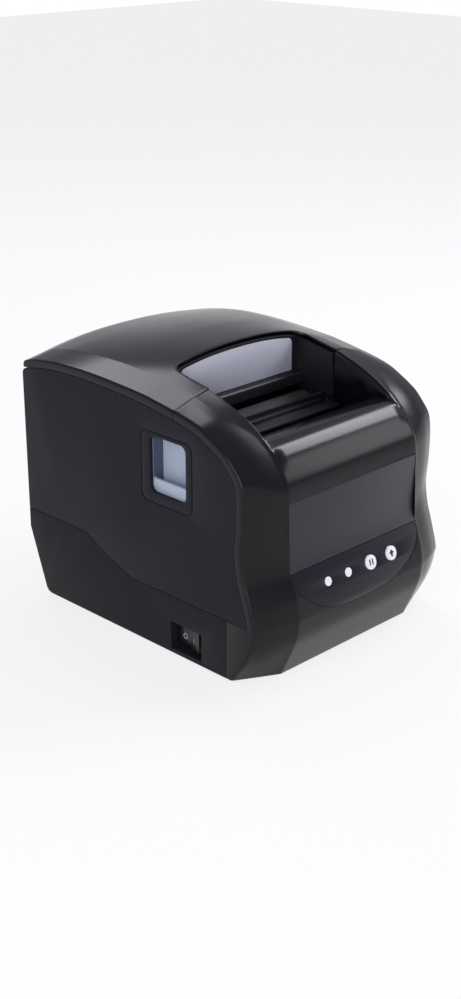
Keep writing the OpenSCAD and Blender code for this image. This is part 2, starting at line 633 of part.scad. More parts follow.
insert_z = rise(0.316);
control_x = [-25.5, -9.5, 8.5, 25.5];
panel_z = rise(0.1855);
panel_y = line_y(panel_z);
panel_tilt = atan((line_y(panel_z + 6) - line_y(panel_z - 6)) / 12);
module on_panel(x) {
    translate([x, panel_y, panel_z]) rotate([90 - panel_tilt, 0, 0]) children();
}
flange_z = -panel_t - 1.4;
board_top = -10;
button_proud = 0.8;
module front_insert() {
    color("#45434a") intersection() {
        prism(panel_outline(insert_z + 0.15, panel_top_z), -panel_hw - 1, panel_hw + 1);
        through_front(0);
    }
}
module control_panel() {
    color("#1c1e28") {
        difference() {
            intersection() {
                prism(panel_outline(panel_low_z, insert_z - 0.15), -panel_hw - 1, panel_hw + 1);
                through_front(0);
            }
            for (i = [0:3]) on_panel(control_x[i]) translate([0, 0, -panel_t - 2])
                cylinder(r = i < 2 ? lens_r : button_r + 0.3, h = panel_t + 5);
        }
        for (x = [-17.5, 17]) on_panel(x) translate([0, 0, board_top])
            cylinder(r = 2.2, h = -board_top - panel_t + 0.3);
    }
}
module status_lenses() {
    color("#f2f4f6") for (i = [0, 1]) on_panel(control_x[i])
        translate([0, 0, -panel_t - 0.6]) cylinder(r = lens_r, h = panel_t + 0.8);
}
module push_button(x) {
    color("#eef0f2") on_panel(x) {
        translate([0, 0, flange_z]) cylinder(r = button_r + 1, h = 1);
        translate([0, 0, flange_z + 1 - EPS]) cylinder(r = button_r, h = button_proud - 1 - flange_z);
        translate([0, 0, flange_z - 1.5]) cylinder(r = 1.5, h = 1.5 + EPS);
    }
}
module pause_button() push_button(control_x[2]);
module feed_button() push_button(control_x[3]);
module button_board() {
    color("#1f5a36") on_panel(0) translate([-34, -8, board_top - 1.6]) cube([68, 16, 1.6]);
}
module tact_switches() {
    color("#2c2c30") for (i = [2, 3]) on_panel(control_x[i]) {
        translate([-3, -3, board_top]) cube([6, 6, 3]);
        translate([0, 0, board_top + 3 - EPS])
            cylinder(r = 1.5, h = flange_z - 1.5 - button_travel - 0.1 - board_top - 3);
    }
}
module status_leds() {
    color("#dfe8e0") for (i = [0, 1]) on_panel(control_x[i])
        translate([0, 0, board_top]) cylinder(r = 1.5, h = 5);
}

// ---------------------------------------------------------------- gears

platen_teeth = 24;
idler_teeth = 28;
pinion_teeth = 16;
pressure = 20;
gear_x = plate_x1 + 0.6;
gear_w = 5;
addendum = 0.8 * gear_m;
dedendum = gear_m;
// Where each gear sits, as the direction from the gear that drives it.
idler_dir = -101;
motor_dir = -78;
idler_c = platen_c + (platen_teeth + idler_teeth) / 2 * gear_m * [cos(idler_dir), sin(idler_dir)];
motor_c = idler_c + (idler_teeth + pinion_teeth) / 2 * gear_m * [cos(motor_dir), sin(motor_dir)];
// Tooth angle of the driven gear so that it meshes with a tooth of its neighbour.
function mesh_angle(dir, angle, za, zb) = dir + 180 - (angle - dir) * za / zb + 180 / zb;
idler_angle = mesh_angle(idler_dir, 0, platen_teeth, idler_teeth);
motor_angle = mesh_angle(motor_dir, idler_angle, idler_teeth, pinion_teeth);
function involute(a) = tan(a) * 180 / PI - a;
module gear_outline(teeth, angle) {
    r = gear_m * teeth / 2;
    base = r * cos(pressure);
    low = max(base, r - dedendum + 0.05);
    half = 90 / teeth - backlash / 4 / r * 180 / PI + involute(pressure);
    flank = [for (k = [0:2]) let (q = low + (r + addendum - low) * k / 2)
        [q, half - involute(acos(min(1, base / q)))]];
    side = concat([[r - dedendum, flank[0][1] + 1]], flank);
    polygon([for (i = [0:teeth - 1]) let (a = angle + 360 * i / teeth) each concat(
        [for (f = side) f[0] * [cos(a - f[1]), sin(a - f[1])]],
        [for (f = rev(side)) f[0] * [cos(a + f[1]), sin(a + f[1])]])]);
}
module gear(c, teeth, angle, bore) {
    translate([gear_x, c[0], c[1]]) rotate([90, 0, 90]) linear_extrude(gear_w) difference() {
        gear_outline(teeth, angle);
        if (bore > 0) circle(bore);
    }
}

// ---------------------------------------------------------------- platen

shaft_end = gear_x + gear_w + 0.6;
module platen_shaft() {
    color("#c4c7cc") bar(shaft_r, -plate_x1 - 0.4, shaft_end, platen_c);
}
module platen_rubber() {
    color("#26262a") difference() {
        bar(platen_r, -platen_hl, platen_hl, platen_c);
        bar(shaft_r, -platen_hl - 1, platen_hl + 1, platen_c);
    }
}
module platen_gear() {
    color("#e6e2d6") gear(platen_c, platen_teeth, 0, shaft_r);
}
hub_r = bush_r - 0.2;
hub_x = frame_x1 + 2.4;
module platen_bushes() {
    color("#d8d4c4") both_sides() difference() {
        union() {
            bar(bush_r, frame_x0, frame_x1, platen_c);
            bar(bush_r + 1.3, frame_x0 - 1.2, frame_x0, platen_c);
            bar(hub_r, frame_x1 - EPS, hub_x, platen_c);
        }
        bar(shaft_r + run_fit, frame_x0 - 3, hub_x + 1, platen_c);
    }
}

// ---------------------------------------------------------------- chassis

chassis_top = platen_z + 5;
cross_y = platen_y - 25.5;
head_pin_c = platen_c - [16, 15];
head_pin_r = 1.5;
idler_pin_r = 2;
lid_drift = 0.2;
module chassis() {
    color("#8f9399") difference() {
        union() {
            both_sides() prism([[chassis_y0, chassis_foot_z], [chassis_y1, chassis_foot_z],
                [chassis_y1, chassis_top - 3], [chassis_y1 - 3, chassis_top],
                [chassis_y0 + 16, chassis_top], [chassis_y0, chassis_top - 16]], plate_x0, plate_x1);
            slab([-plate_x0 - EPS, chassis_y0, chassis_foot_z],
                [plate_x0 + EPS, chassis_y1, chassis_foot_z + plate_t]);
            slab([-plate_x0 - EPS, cross_y - plate_t, chassis_foot_z],
                [plate_x0 + EPS, cross_y, chassis_top - 9]);
            slab([-notch_hw + 1, cross_y - plate_t, chassis_top - 10],
                [notch_hw - 1, cross_y, chassis_top - 3]);
            slab([-notch_hw + 1, brow_y + 2, chassis_top - 3 - plate_t],
                [notch_hw - 1, cross_y, chassis_top - 3]);
        }
        // slots that the platen shaft drops into
        both_sides() prism([[platen_y - shaft_r - 0.3, platen_z],
            [platen_y - shaft_r - 1 - lid_drift * 6, chassis_top + 2],
            [platen_y + shaft_r + 1.3, chassis_top + 2], [platen_y + shaft_r + 0.3, platen_z]],
            plate_x0 - 1, plate_x1 + 1);
        both_sides() bar(shaft_r + 0.3, plate_x0 - 1, plate_x1 + 1, platen_c);
        both_sides() bar(latch_shaft_r + run_fit, plate_x0 - 1, plate_x1 + 1, latch_c);
        both_sides() bar(head_pin_r, plate_x0 - 1, plate_x1 + 1, head_pin_c);
        bar(idler_pin_r, plate_x0 - 1, plate_x1 + 1, idler_c);
        bar(motor_boss_r + 0.2, plate_x0 - 1, plate_x1 + 1, motor_c);
        for (s = [-1, 1], p = chassis_post) translate([s * p[0], p[1], 0])
            cylinder(r = screw_r + 0.3, h = chassis_foot_z + 5);
        slab([cable_x0 - 2, cable_y - 4, chassis_foot_z - 1],
            [cable_x1 + 2, cable_y + 4, chassis_foot_z + 5]);
    }
}
module chassis_screws() {
    color("#b5b8bd") for (s = [-1, 1], p = chassis_post) translate([s * p[0], p[1], 0]) {
        translate([0, 0, chassis_foot_z + plate_t]) cylinder(r = 2.6, h = 1.8);
        translate([0, 0, chassis_foot_z - 8]) cylinder(r = screw_r - 0.02, h = 8 + plate_t + EPS);
    }
}

// ---------------------------------------------------------------- print head

head_hw = 42;
head_y = platen_y - platen_r - nip;
sink_t = 5;
sink_y = head_y - 1;
bracket_y = sink_y - sink_t;
head_low = platen_z - 9;
head_top = platen_z + 6;
tab_x = notch_hw - 2.5;
module thermal_head() {
    color("#cfc9b8") slab([-head_hw, sink_y, head_low], [head_hw, head_y, platen_z + 2]);
}
module head_heatsink() {
    color("#9a9da3") difference() {
        slab([-head_hw, bracket_y, head_low - 4], [head_hw, sink_y, head_top]);
        for (i = [-5:5]) slab([i * 7.6 - 1.6, bracket_y - 1, head_low - 5],
            [i * 7.6 + 1.6, bracket_y + 2.6, platen_z - 4]);
    }
}
module head_bracket() {
    color("#a2a5ab") difference() {
        union() {
            slab([-tab_x, bracket_y - plate_t, head_low - 8], [tab_x, bracket_y, head_top - 2]);
            slab([-tab_x, cross_y + 2, head_top - 2 - plate_t], [tab_x, bracket_y, head_top - 2]);
            both_sides() prism([[bracket_y - EPS, head_low + 4], [bracket_y - 9, head_low - 2],
                [bracket_y - 9, head_low - 10], [bracket_y - EPS, head_low - 10]],
                tab_x - plate_t, tab_x);
        }
        both_sides() bar(head_pin_r + run_fit, tab_x - 4, tab_x + 1, head_pin_c);
        bar(head_pin_r + 0.5, -tab_x + plate_t, tab_x - plate_t, head_pin_c);
    }
}
module head_pin() {
    color("#c4c7cc") bar(head_pin_r, -plate_x1 - 0.3, plate_x1 + 0.3, head_pin_c);
}
spring_x = 24;
spring_turns = 5;
module head_springs() {
    // stacked coils between the bracket and the cross plate
    length = bracket_y - plate_t - cross_y - 0.6;
    pitch = length / spring_turns;
    color("#b9bcc2") both_sides() translate([spring_x, bracket_y - plate_t, platen_z - 5])
        rotate([90, 0, 0]) {
            for (i = [0:spring_turns - 1]) translate([0, 0, i * pitch])
                cylinder(r = 3.4, h = pitch * 0.55);
            cylinder(r = 2.4, h = length);
        }
}
blade_hw = notch_hw - 1.5;
blade_teeth = 47;
blade_top = head_top + 2.5;
module tear_blade() {
    pitch = 2 * blade_hw / blade_teeth;
    color("#b0b3b8") translate([0, head_y - 1.5, 0]) rotate([90, 0, 0]) linear_extrude(1)
        polygon(concat([[blade_hw, head_top], [-blade_hw, head_top]],
            [for (i = [0:blade_teeth - 1]) each [[i * pitch - blade_hw, blade_top - 0.9],
                [(i + 0.5) * pitch - blade_hw, blade_top]]], [[blade_hw, blade_top - 0.9]]));
}

// ---------------------------------------------------------------- motor and drive

motor_boss_r = 5;
motor_shaft_r = 1.5;
module stepper_motor() {
    color("#7b7e85") difference() {
        union() {
            bar(motor_r, plate_x0 - motor_l, plate_x0, motor_c);
            bar(motor_boss_r, plate_x0 - EPS, plate_x1 + 0.2, motor_c);
        }
        bar(motor_shaft_r + run_fit, plate_x0 - 6, plate_x1 + 2, motor_c);
    }
}
module motor_pinion() {
    color("#d9b86a") {
        gear(motor_c, pinion_teeth, motor_angle, 0);
        bar(motor_shaft_r, plate_x0 - 5.5, gear_x + EPS, motor_c);
    }
}
module idler_gear() {
    color("#e6e2d6") gear(idler_c, idler_teeth, idler_angle, idler_pin_r + run_fit);
}
module idler_pin() {
    color("#c4c7cc") {
        bar(idler_pin_r, plate_x0 - 1, gear_x + gear_w + 1.2, idler_c);
        bar(idler_pin_r + 1.2, gear_x + gear_w + 0.3, gear_x + gear_w + 1.5, idler_c);
    }
}

// ---------------------------------------------------------------- latch

hook_x0 = frame_x1 + 0.7;
hook_x1 = plate_x0 - 0.7;
beak_r = norm([18.5, 32]) + hub_r + 0.2;
hook_dir = atan2(32, 18.5);
lever_x = -in_x + 0.4;
cup_depth = 9.4;
lever_floor_x = -in_x + cup_depth;
lever_wall = 1.8;
lip_z = cup_z0 + 7;
module latch_shaft() {
    color("#c4c7cc") bar(latch_shaft_r, lever_floor_x - 4, plate_x1 + 1.2, latch_c);
}
module latch_hooks() {
    color("#9b9ea4") both_sides() difference() {
        translate([hook_x0, latch_c[0], latch_c[1]]) rotate([90, 0, 90])
            linear_extrude(hook_x1 - hook_x0) union() {
                circle(latch_shaft_r + 2.4);
                rotate(hook_dir) polygon([[1, -3.6], [beak_r - 10, -3.6], [beak_r - 10, 0.6],
                    [beak_r - 8.6, 4.6], [beak_r, 4.9], [beak_r, 0.4], [beak_r + 0.6, -0.6],
                    [beak_r + 3.4, 4], [beak_r + 3.4, 8], [beak_r - 13, 6.4], [beak_r - 17, 1.6],
                    [1, 1.6]]);
            }
        bar(latch_shaft_r, hook_x0 - 1, hook_x1 + 1, latch_c);
    }
}
module release_lever() {
    y0 = cup_y0 - lever_wall;
    y1 = cup_y1 + lever_wall;
    z0 = cup_z0 - lever_wall;
    z1 = cup_z1 + lever_wall;
    hub_x0 = lever_floor_x - 2;
    color("#8c98a6") difference() {
        union() {
            slab([lever_x, y0, z0], [lever_floor_x, y1, z1]);
            slab([hub_x0, latch_c[0] - 4, latch_c[1]], [lever_floor_x, latch_c[0] + 14, z0 + EPS]);
            bar(latch_shaft_r + 2.4, hub_x0, lever_floor_x, latch_c);
        }
        slab([lever_x + 1.6, cup_y0, cup_z0], [lever_floor_x - lever_wall, cup_y1, cup_z1]);
        slab([lever_x - 1, cup_y0, lip_z], [lever_x + 2, cup_y1, cup_z1]);
        bar(latch_shaft_r, hub_x0 - 1, lever_floor_x + 1, latch_c);
    }
}
coil_x = 1.9 - hook_x0;
module latch_spring() {
    coils = 4;
    color("#b9bcc2") {
        for (i = [0:coils - 1]) difference() {
            bar(latch_shaft_r + 1, coil_x + i * 1.4, coil_x + i * 1.4 + 1, latch_c);
            bar(latch_shaft_r, coil_x - 1, coil_x + 8, latch_c);
        }
        slab([coil_x, latch_c[0] + latch_shaft_r, latch_c[1]],
            [coil_x + 1.4 * coils - 0.4, latch_c[0] + latch_shaft_r + 1, latch_c[1] + 8]);
    }
}

// ---------------------------------------------------------------- label bay

bin_y1 = roll_c[0] + roll_r + bin_t;
bin_front_z = deck_top - 13.4;
rack_teeth = 16;
rack_r = gear_m * rack_teeth / 2;
rack_t = 4.2;
foot_l = 5;
guide_r = roll_r - 6;
guide_x = bay_hw - 2;
hub_out_r = 12;
hub_len = 8;
stud_r = 2.4;
module bin_shape(r) {
    translate(roll_c) circle(r);
    translate([roll_c[0] - r, roll_c[1]]) square([2 * r, deck_top - roll_c[1]]);
}
module along_x(x0, x1) {
    translate([x0, 0, 0]) rotate([90, 0, 90]) linear_extrude(x1 - x0) children();
}
module bin_front_cut(x) {
    slab([-x, bin_y0 - 1, bin_front_z], [x, deck_y0, deck_top + 1]);
}
module paper_bin() {
    color("#1d1d21") difference() {
        union() {
            along_x(-bay_hw - bin_wall_t, bay_hw + bin_wall_t) bin_shape(roll_r + bin_t);
            both_sides() slab([bay_hw + bin_wall_t - EPS, deck_y0, deck_top - deck_t],
                [in_x - 0.2, back - wall - 5.3, deck_top]);
            translate([0, roll_c[0], rack_z0 - 1]) cylinder(r = stud_r, h = roll_c[1] - roll_r - rack_z0);
        }
        along_x(-bay_hw, bay_hw) union() {
            bin_shape(roll_r);
            translate([roll_c[0] - roll_r, deck_top - 1]) square([2 * roll_r, 5]);
        }
        bin_front_cut(bay_hw + bin_wall_t + 1);
        for (s = [-1, 1]) rack_slot(s);
    }
}
// Slot that a guide's foot slides in: s = -1 for the left guide.
module rack_slot(s) {
    y = roll_c[0] - s * (rack_r + gear_m + rack_t / 2);
    far = guide_x + 0.4;
    near = guide_x - foot_l - guide_travel - 0.4;
    x0 = s < 0 ? -far : near;
    slab([x0, y - rack_t / 2 - 0.3, rack_z0 + rack_h], [x0 + far - near, y + rack_t / 2 + 0.3,
        roll_c[1] - roll_r + 4]);
}
module rack_bar() {
    // teeth point to -y, pitch line on y = 0
    pitch = PI * gear_m;
    half = pitch / 4 - backlash / 4;
    lean = tan(pressure);
    polygon(concat([[-guide_x, gear_m + rack_t], [-guide_x, gear_m]],
        [for (i = [-14:2]) let (x = (i + 0.5) * pitch) each [[x - half - lean * gear_m, gear_m],
            [x - half + lean * addendum, -addendum], [x + half - lean * addendum, -addendum],
            [x + half + lean * gear_m, gear_m]]],
        [[9, gear_m], [9, gear_m + rack_t]]));
}
module roll_guide() {
    // left guide, at rest against the left wall of the bay
    foot_y = roll_c[0] + rack_r + gear_m;
    difference() {
        union() {
            along_x(-guide_x, -guide_x + guide_t) translate(roll_c) circle(guide_r);
            bar(hub_out_r, -guide_x, -guide_x + guide_t + hub_len, roll_c);
        }
        bar(hub_out_r - 2, -guide_x - 1, -guide_x + guide_t + hub_len + 1, roll_c);
    }
    slab([-guide_x, foot_y, rack_z0], [-guide_x + foot_l, foot_y + rack_t, roll_c[1] - guide_r + 3]);
    translate([0, roll_c[0] + rack_r, rack_z0]) linear_extrude(rack_h) rack_bar();
}
module roll_guide_left() {
    color("#3a3c44") roll_guide();
}
module roll_guide_right() {
    // the left guide turned half a turn about the pinion
    color("#3a3c44") translate([0, 2 * roll_c[0], 0]) rotate([0, 0, 180]) roll_guide();
}
module guide_pinion() {
    color("#e6e2d6") translate([0, roll_c[0], rack_z0]) linear_extrude(rack_h) difference() {
        gear_outline(rack_teeth, 0);
        circle(stud_r + run_fit);
    }
}

// ---------------------------------------------------------------- electronics

board_up = board_z + board_t;
module main_board() {
    color("#1f5a36") difference() {
        slab([board_x0, board_y0, board_z], [board_x1, board_y1, board_up]);
        for (p = board_post) translate([p[0], p[1], 0]) cylinder(r = screw_r, h = board_up + 1);
    }
}
module board_screws() {
    color("#b5b8bd") for (p = board_post) translate([p[0], p[1], 0]) {
        translate([0, 0, board_up]) cylinder(r = 2.2, h = 1.4);
        translate([0, 0, deck_z + 1.5]) cylinder(r = screw_r - 0.22, h = board_up - deck_z - 1.4);
    }
}
module board_parts() {
    color("#2a2a2e") translate([0, board_y0, board_up]) {
        slab([14, 40, 0], [28, 54, 1.6]);
        slab([-24, 10, 0], [-12, 22, 1.4]);
        slab([34, 4, 0], [40, 26, 5]);
        slab([-6, 6, 0], [6, 11, 5]);
        slab([6, 62, 0], [20, 72, 7]);
        for (p = [[40, 62], [28, 64], [-44, 36]]) translate([p[0], p[1], 0]) cylinder(r = 4, h = 5.6);
    }
}
jack_x = tray_x1 - 10;
usb_x = tray_x0 + 11;
port_z = board_up + 6;
port_y = tray_y + 2;
module power_jack() {
    color("#222226") difference() {
        union() {
            slab([jack_x - 5, tray_y - 14, board_up], [jack_x + 5, tray_y - 0.4, board_up + 11.4]);
            bar_y(4, tray_y - 1, port_y + 0.4, [jack_x, port_z]);
        }
        bar_y(2.8, tray_y - 9, port_y + 1, [jack_x, port_z]);
    }
    color("#c9a94f") bar_y(0.9, tray_y - 9.5, port_y - 0.6, [jack_x, port_z]);
}
module bar_y(r, y0, y1, xz) {
    translate([xz[0], y1, xz[1]]) rotate([90, 0, 0]) cylinder(r = r, h = y1 - y0);
}
module usb_port() {
    color("#b9bcc2") {
        difference() {
            slab([usb_x - 6, tray_y - 15, board_up], [usb_x + 6, port_y + 0.4, board_up + 11]);
            slab([usb_x - 4.6, tray_y - 7, board_up + 1.5], [usb_x + 4.6, port_y + 1, board_up + 9.6]);
        }
        slab([usb_x - 2.8, tray_y - 7.5, board_up + 4], [usb_x + 2.8, port_y - 0.6, board_up + 7]);
    }
}
module rear_panel() {
    t = 1.2;
    color("#232226") difference() {
        slab([tray_x0 - t, tray_y, tray_z0 - t], [tray_x1 + t, back, tray_z1 + t]);
        slab([tray_x0, tray_y + 2, tray_z0], [tray_x1, back + 1, tray_z1]);
        prism([[back - 12.6, floor_z + 2.6], [back, heel_top_z], [back + 20, heel_top_z],
            [back + 20, 0], [back - 12.6, 0]], -hw, hw);
        bar_y(4.1, tray_y - 1, tray_y + 3, [jack_x, port_z]);
        slab([usb_x - 6.1, tray_y - 1, board_up - 0.1], [usb_x + 6.1, tray_y + 3, board_up + 11.1]);
    }
}
cable_x0 = 5.5 - chassis_post[0][0];
cable_x1 = cable_x0 + 30;
cable_y = platen_y - 9;
cable_t = 0.3;
module head_cable() {
    path = [[sink_y - 2, head_low - 4.4], [sink_y - 2.4, head_low - 12], [cable_y, head_low - 28],
        [cable_y, chassis_foot_z + 4], [cable_y, 18], [cable_y + 5, 12.6],
        [board_y0 - 2, board_up + 1.4], [board_y0 + 3, board_up + 0.3]];
    line = smooth(path, 3);
    color("#d8d5cc") prism(concat(line, rev(shifted(line, cable_t))), cable_x0, cable_x1);
}
module gap_sensor() {
    color("#2c2c30") slab([-6, bin_y0 - 2.6, bin_front_z - 9], [6, bin_y0, bin_front_z - 1]);
}
module cover_sensor() {
    color("#2c2c30") {
        slab([-plate_x1 - 4, chassis_y1 - 7.6, chassis_top - 33], [-plate_x1, chassis_y1 - 1,
            chassis_top - 22]);
        slab([-plate_x1 - 3, chassis_y1 - 6.3, chassis_top - 22 - EPS], [-plate_x1 - 1,
            chassis_y1 - 3, chassis_top - 20]);
    }
}

// ---------------------------------------------------------------- power switch

recess_x = -hw + switch_depth;
switch_box = [rocker_l + 1.4, rocker_h + 1.4];
rocker_gap = 0.3;
rocker_tilt = 7;
rocker_x = recess_x + 5.2;
rocker_hl = rocker_l / 2 - 0.8;
module switch_block(x0, x1, size) {
    slab([x0, switch_c[0] - size[0] / 2, switch_c[1] - size[1] / 2],
        [x1, switch_c[0] + size[0] / 2, switch_c[1] + size[1] / 2]);
}
module power_switch_body() {
    color("#151518") difference() {
        union() {
            switch_block(recess_x - 0.8, recess_x, switch_box + [2.2, 0.9]);
            switch_block(recess_x - EPS, recess_x + 16, switch_box - [0.2, 0.2]);
        }
        switch_block(recess_x - 2, recess_x + 9.6, [rocker_l + 0.6, rocker_h + 2 * rocker_gap]);
        translate([rocker_x, switch_c[0], switch_c[1] - rocker_h / 2 - 0.5 - rocker_gap])
            cylinder(r = 1.2 + run_fit, h = rocker_h + 1 + 2 * rocker_gap);
    }
}
module power_rocker() {
    depth = 3.2;
    front = 6.6;
    rise = rocker_hl * tan(rocker_tilt);
    z0 = switch_c[1] - rocker_h / 2;
    color("#1c1c20") translate([rocker_x, switch_c[0], 0]) rotate([0, 0, -rocker_tilt]) {
        translate([0, 0, z0]) linear_extrude(rocker_h)
            polygon([[-front - rise, -rocker_hl], [-front, 0], [-front - rise, rocker_hl],
                [depth - 1.5, rocker_hl], [depth, rocker_hl - 3], [depth, 3 - rocker_hl],
                [depth - 1.5, -rocker_hl]]);
        translate([0, 0, z0 - 0.5]) cylinder(r = 1.2, h = rocker_h + 1);
        // off and on marks
        for (s = [-1, 1]) rotate([0, 0, s * rocker_tilt])
            translate([-front * cos(rocker_tilt) + 0.05, s * 4.6, switch_c[1]]) rotate([0, -90, 0])
                linear_extrude(0.2) if (s > 0) difference() {
                    circle(1.7);
                    circle(1.15);
                } else square([3.4, 0.6], center = true);
    }
}

// ---------------------------------------------------------------- feet and screws

module rubber_feet() {
    color("#101012") for (y = foot_y) both_sides() translate([foot_x, y, 0]) difference() {
        cylinder(r = foot_r, h = foot_h + 1);
        translate([0, 0, -EPS]) cylinder(r = 1.6, h = 0.8);
    }
}
module base_screws() {
    color("#8d9096") both_sides() for (p = [[post_back_y, post_back_z], [post_front_y, post_front_z]])
        translate([post_x, p[0], p[1] - 5]) {
            translate([0, 0, -2.4]) cylinder(r = 2.6, h = 2.4);
            translate([0, 0, -EPS]) cylinder(r = base_screw_r, h = 17);
        }
}

base_case();
upper_case();
front_cover();
front_insert();
control_panel();
status_lenses();
pause_button();
feed_button();
button_board();
tact_switches();
status_leds();
lid_cover();
lid_frame();
lid_window();
lid_screws();
hinge_pins();
platen_shaft();
platen_rubber();
platen_gear();
platen_bushes();
chassis();
head_bracket();
thermal_head();
head_heatsink();
head_springs();
head_pin();
tear_blade();
stepper_motor();
motor_pinion();
idler_gear();
idler_pin();
latch_shaft();
latch_hooks();
release_lever();
latch_spring();
paper_bin();
roll_guide_left();
roll_guide_right();
guide_pinion();
main_board();
board_parts();
power_jack();
usb_port();
rear_panel();
head_cable();
power_switch_body();
power_rocker();
gap_sensor();
cover_sensor();
rubber_feet();
base_screws();
chassis_screws();
board_screws();
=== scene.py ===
"""Looks of the thermal label printer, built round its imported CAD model."""

import math

import bmesh
import bpy
import numpy as np
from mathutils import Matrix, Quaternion, Vector, geometry, kdtree


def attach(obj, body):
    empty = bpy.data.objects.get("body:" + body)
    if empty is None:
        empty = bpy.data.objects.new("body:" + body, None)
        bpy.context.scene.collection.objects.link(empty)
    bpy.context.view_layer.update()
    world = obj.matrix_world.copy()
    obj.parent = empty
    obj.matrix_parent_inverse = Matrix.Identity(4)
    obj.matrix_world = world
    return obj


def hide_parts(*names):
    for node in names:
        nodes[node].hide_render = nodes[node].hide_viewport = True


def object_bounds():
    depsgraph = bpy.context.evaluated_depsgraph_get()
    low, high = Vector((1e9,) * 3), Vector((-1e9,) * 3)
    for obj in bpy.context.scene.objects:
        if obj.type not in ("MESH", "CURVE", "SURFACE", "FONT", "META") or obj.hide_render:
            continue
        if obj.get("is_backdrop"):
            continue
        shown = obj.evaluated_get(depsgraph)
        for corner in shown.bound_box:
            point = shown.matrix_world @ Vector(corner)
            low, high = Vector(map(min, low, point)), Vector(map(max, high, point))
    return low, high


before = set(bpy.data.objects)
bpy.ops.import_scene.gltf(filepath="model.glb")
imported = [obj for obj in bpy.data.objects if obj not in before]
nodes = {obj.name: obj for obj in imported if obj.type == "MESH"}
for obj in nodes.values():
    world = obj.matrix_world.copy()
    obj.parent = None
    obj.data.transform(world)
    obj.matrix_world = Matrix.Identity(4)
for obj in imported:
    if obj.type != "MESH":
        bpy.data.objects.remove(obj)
cad_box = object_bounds()
MM = 0.001

# ------------------------------------------------------------------ driving sizes, in millimetres

BODY_W, BODY_D, BODY_H = 150.0, 191.4, 156.4
HW = BODY_W / 2
BACK, NOSE = BODY_D / 2, -BODY_D / 2
SIDE_TOP = BODY_H - 10.7
STRIP_H = 4.4
SPLIT_FRONT_Z = 35.0
FLOOR_Z = 1.0
NOTCH_HW = 48.5
CREASE_X = 60.0
CROWN_POWER = 2.3
EXIT_Y = -1.0
EXIT_R = 7.0
SEAM_Y, SEAM_Z = -28.6, SIDE_TOP - 5.6
FRONT_Y = SEAM_Y - 0.4
HINGE_Z = SIDE_TOP - 13
LID_FOOT_Z = HINGE_Z + 4
# Thickness that the two skins show at their lips.
LIP = 1.1
# Radius and steps of the turn from a skin down to its foot.
TURN_R, TURN_STEPS = 1.3, 4
BROW_Z = 123.0
PANEL_TOP_Z, PANEL_LOW_Z, PANEL_HW = 99.2, 33.2, NOTCH_HW + 2.1
SHOULDER_X = PANEL_HW + 0.4
# Step from the wall of the recess out to its rim.
RIM_STEP = 0.9
# Places of the two keys across the panel.
PAUSE_X, FEED_X = 8.5, 25.5
# Degrees that the key panel leans back, and that the rocker leans either way.
PANEL_LEAN, ROCKER_TILT = 18.34, 7
# The rear wall of the lever's finger cup, counted towards the front.
LEVER_WALL = 10.0

# Where the lid's rounded tail begins.
TAIL_Y = BACK - 10
# Lid stations, front of the hinge: y, then the heights of side edge, crease and crown.
LID_RUN = [
    (TAIL_Y, SIDE_TOP - 3, SIDE_TOP, BODY_H - 7),
    (68, SIDE_TOP - 0.8, SIDE_TOP + 3.2, BODY_H - 4.5),
    (46, SIDE_TOP, SIDE_TOP + 4.8, BODY_H - 1.9),
    (25, SIDE_TOP - 0.5, SIDE_TOP + 4.7, BODY_H - 0.3),
    (EXIT_Y, SIDE_TOP - 1.9, SIDE_TOP + 2.7, BODY_H),
    (-15, SIDE_TOP - 3.6, SIDE_TOP + 0.8, BODY_H - 3.1),
    (SEAM_Y, SIDE_TOP - 5.6, SIDE_TOP - 1.1, BODY_H - 6),
]
# The lid's rounded tail, as (y, z) of foot, side edge, crease and crown.
LID_TAIL = [
    [(BACK - 1.9, LID_FOOT_Z), (BACK - 0.3, LID_FOOT_Z), (BACK - 0.25, LID_FOOT_Z),
     (BACK - 0.2, LID_FOOT_Z)],
    [(BACK - 3.4, LID_FOOT_Z + 0.1), (BACK - 0.8, LID_FOOT_Z + 2.8), (BACK - 0.6, SIDE_TOP - 4.8),
     (BACK - 0.6, BODY_H - 10.6)],
    [(BACK - 5.6, LID_FOOT_Z + 0.3), (BACK - 2.8, SIDE_TOP - 5.2), (BACK - 2.6, SIDE_TOP - 2.7),
     (BACK - 2.4, BODY_H - 8.4)],
]

# The front cover's lines run back from the bend over the nose, then rise from the split.
BEND_Y, BEND_Z = NOSE + 19.1, SEAM_Z - 25.3


def run(t):
    """A place between the lid seam, at 0, and the bend over the nose, at 1."""
    return FRONT_Y + (BEND_Y - FRONT_Y) * t


def rise(t):
    """A height between the split, at 0, and the bend over the nose, at 1."""
    return SPLIT_FRONT_Z + (BEND_Z - SPLIT_FRONT_Z) * t


# Lines of the front cover, as (y, z) from the lid seam down to the table.
FRONT_EDGE = [
    (FRONT_Y, SEAM_Z), (run(0.231), SEAM_Z - 2.1), (run(0.399), SEAM_Z - 4.3),
    (run(0.525), SEAM_Z - 7), (run(0.672), SEAM_Z - 10.6), (run(0.798), SEAM_Z - 14.4),
    (run(0.903), SEAM_Z - 19.4), (BEND_Y, BEND_Z), (NOSE + 17.6, rise(0.905)),
    (NOSE + 17.3, rise(0.803)), (NOSE + 17.6, rise(0.658)), (NOSE + 18.6, rise(0.492)),
    (NOSE + 16.8, rise(0.341)), (NOSE + 13.3, rise(0.202)), (NOSE + 10.6, rise(0.094)),
    (NOSE + 9.3, rise(0.03)), (NOSE + 9.1, SPLIT_FRONT_Z + 0.3)]
FRONT_EDGE_LOW = [
    (NOSE + 9.3, SPLIT_FRONT_Z - 0.5), (NOSE + 11.8, 23.3), (NOSE + 16.3, 12.9),
    (NOSE + 25, FLOOR_Z)]
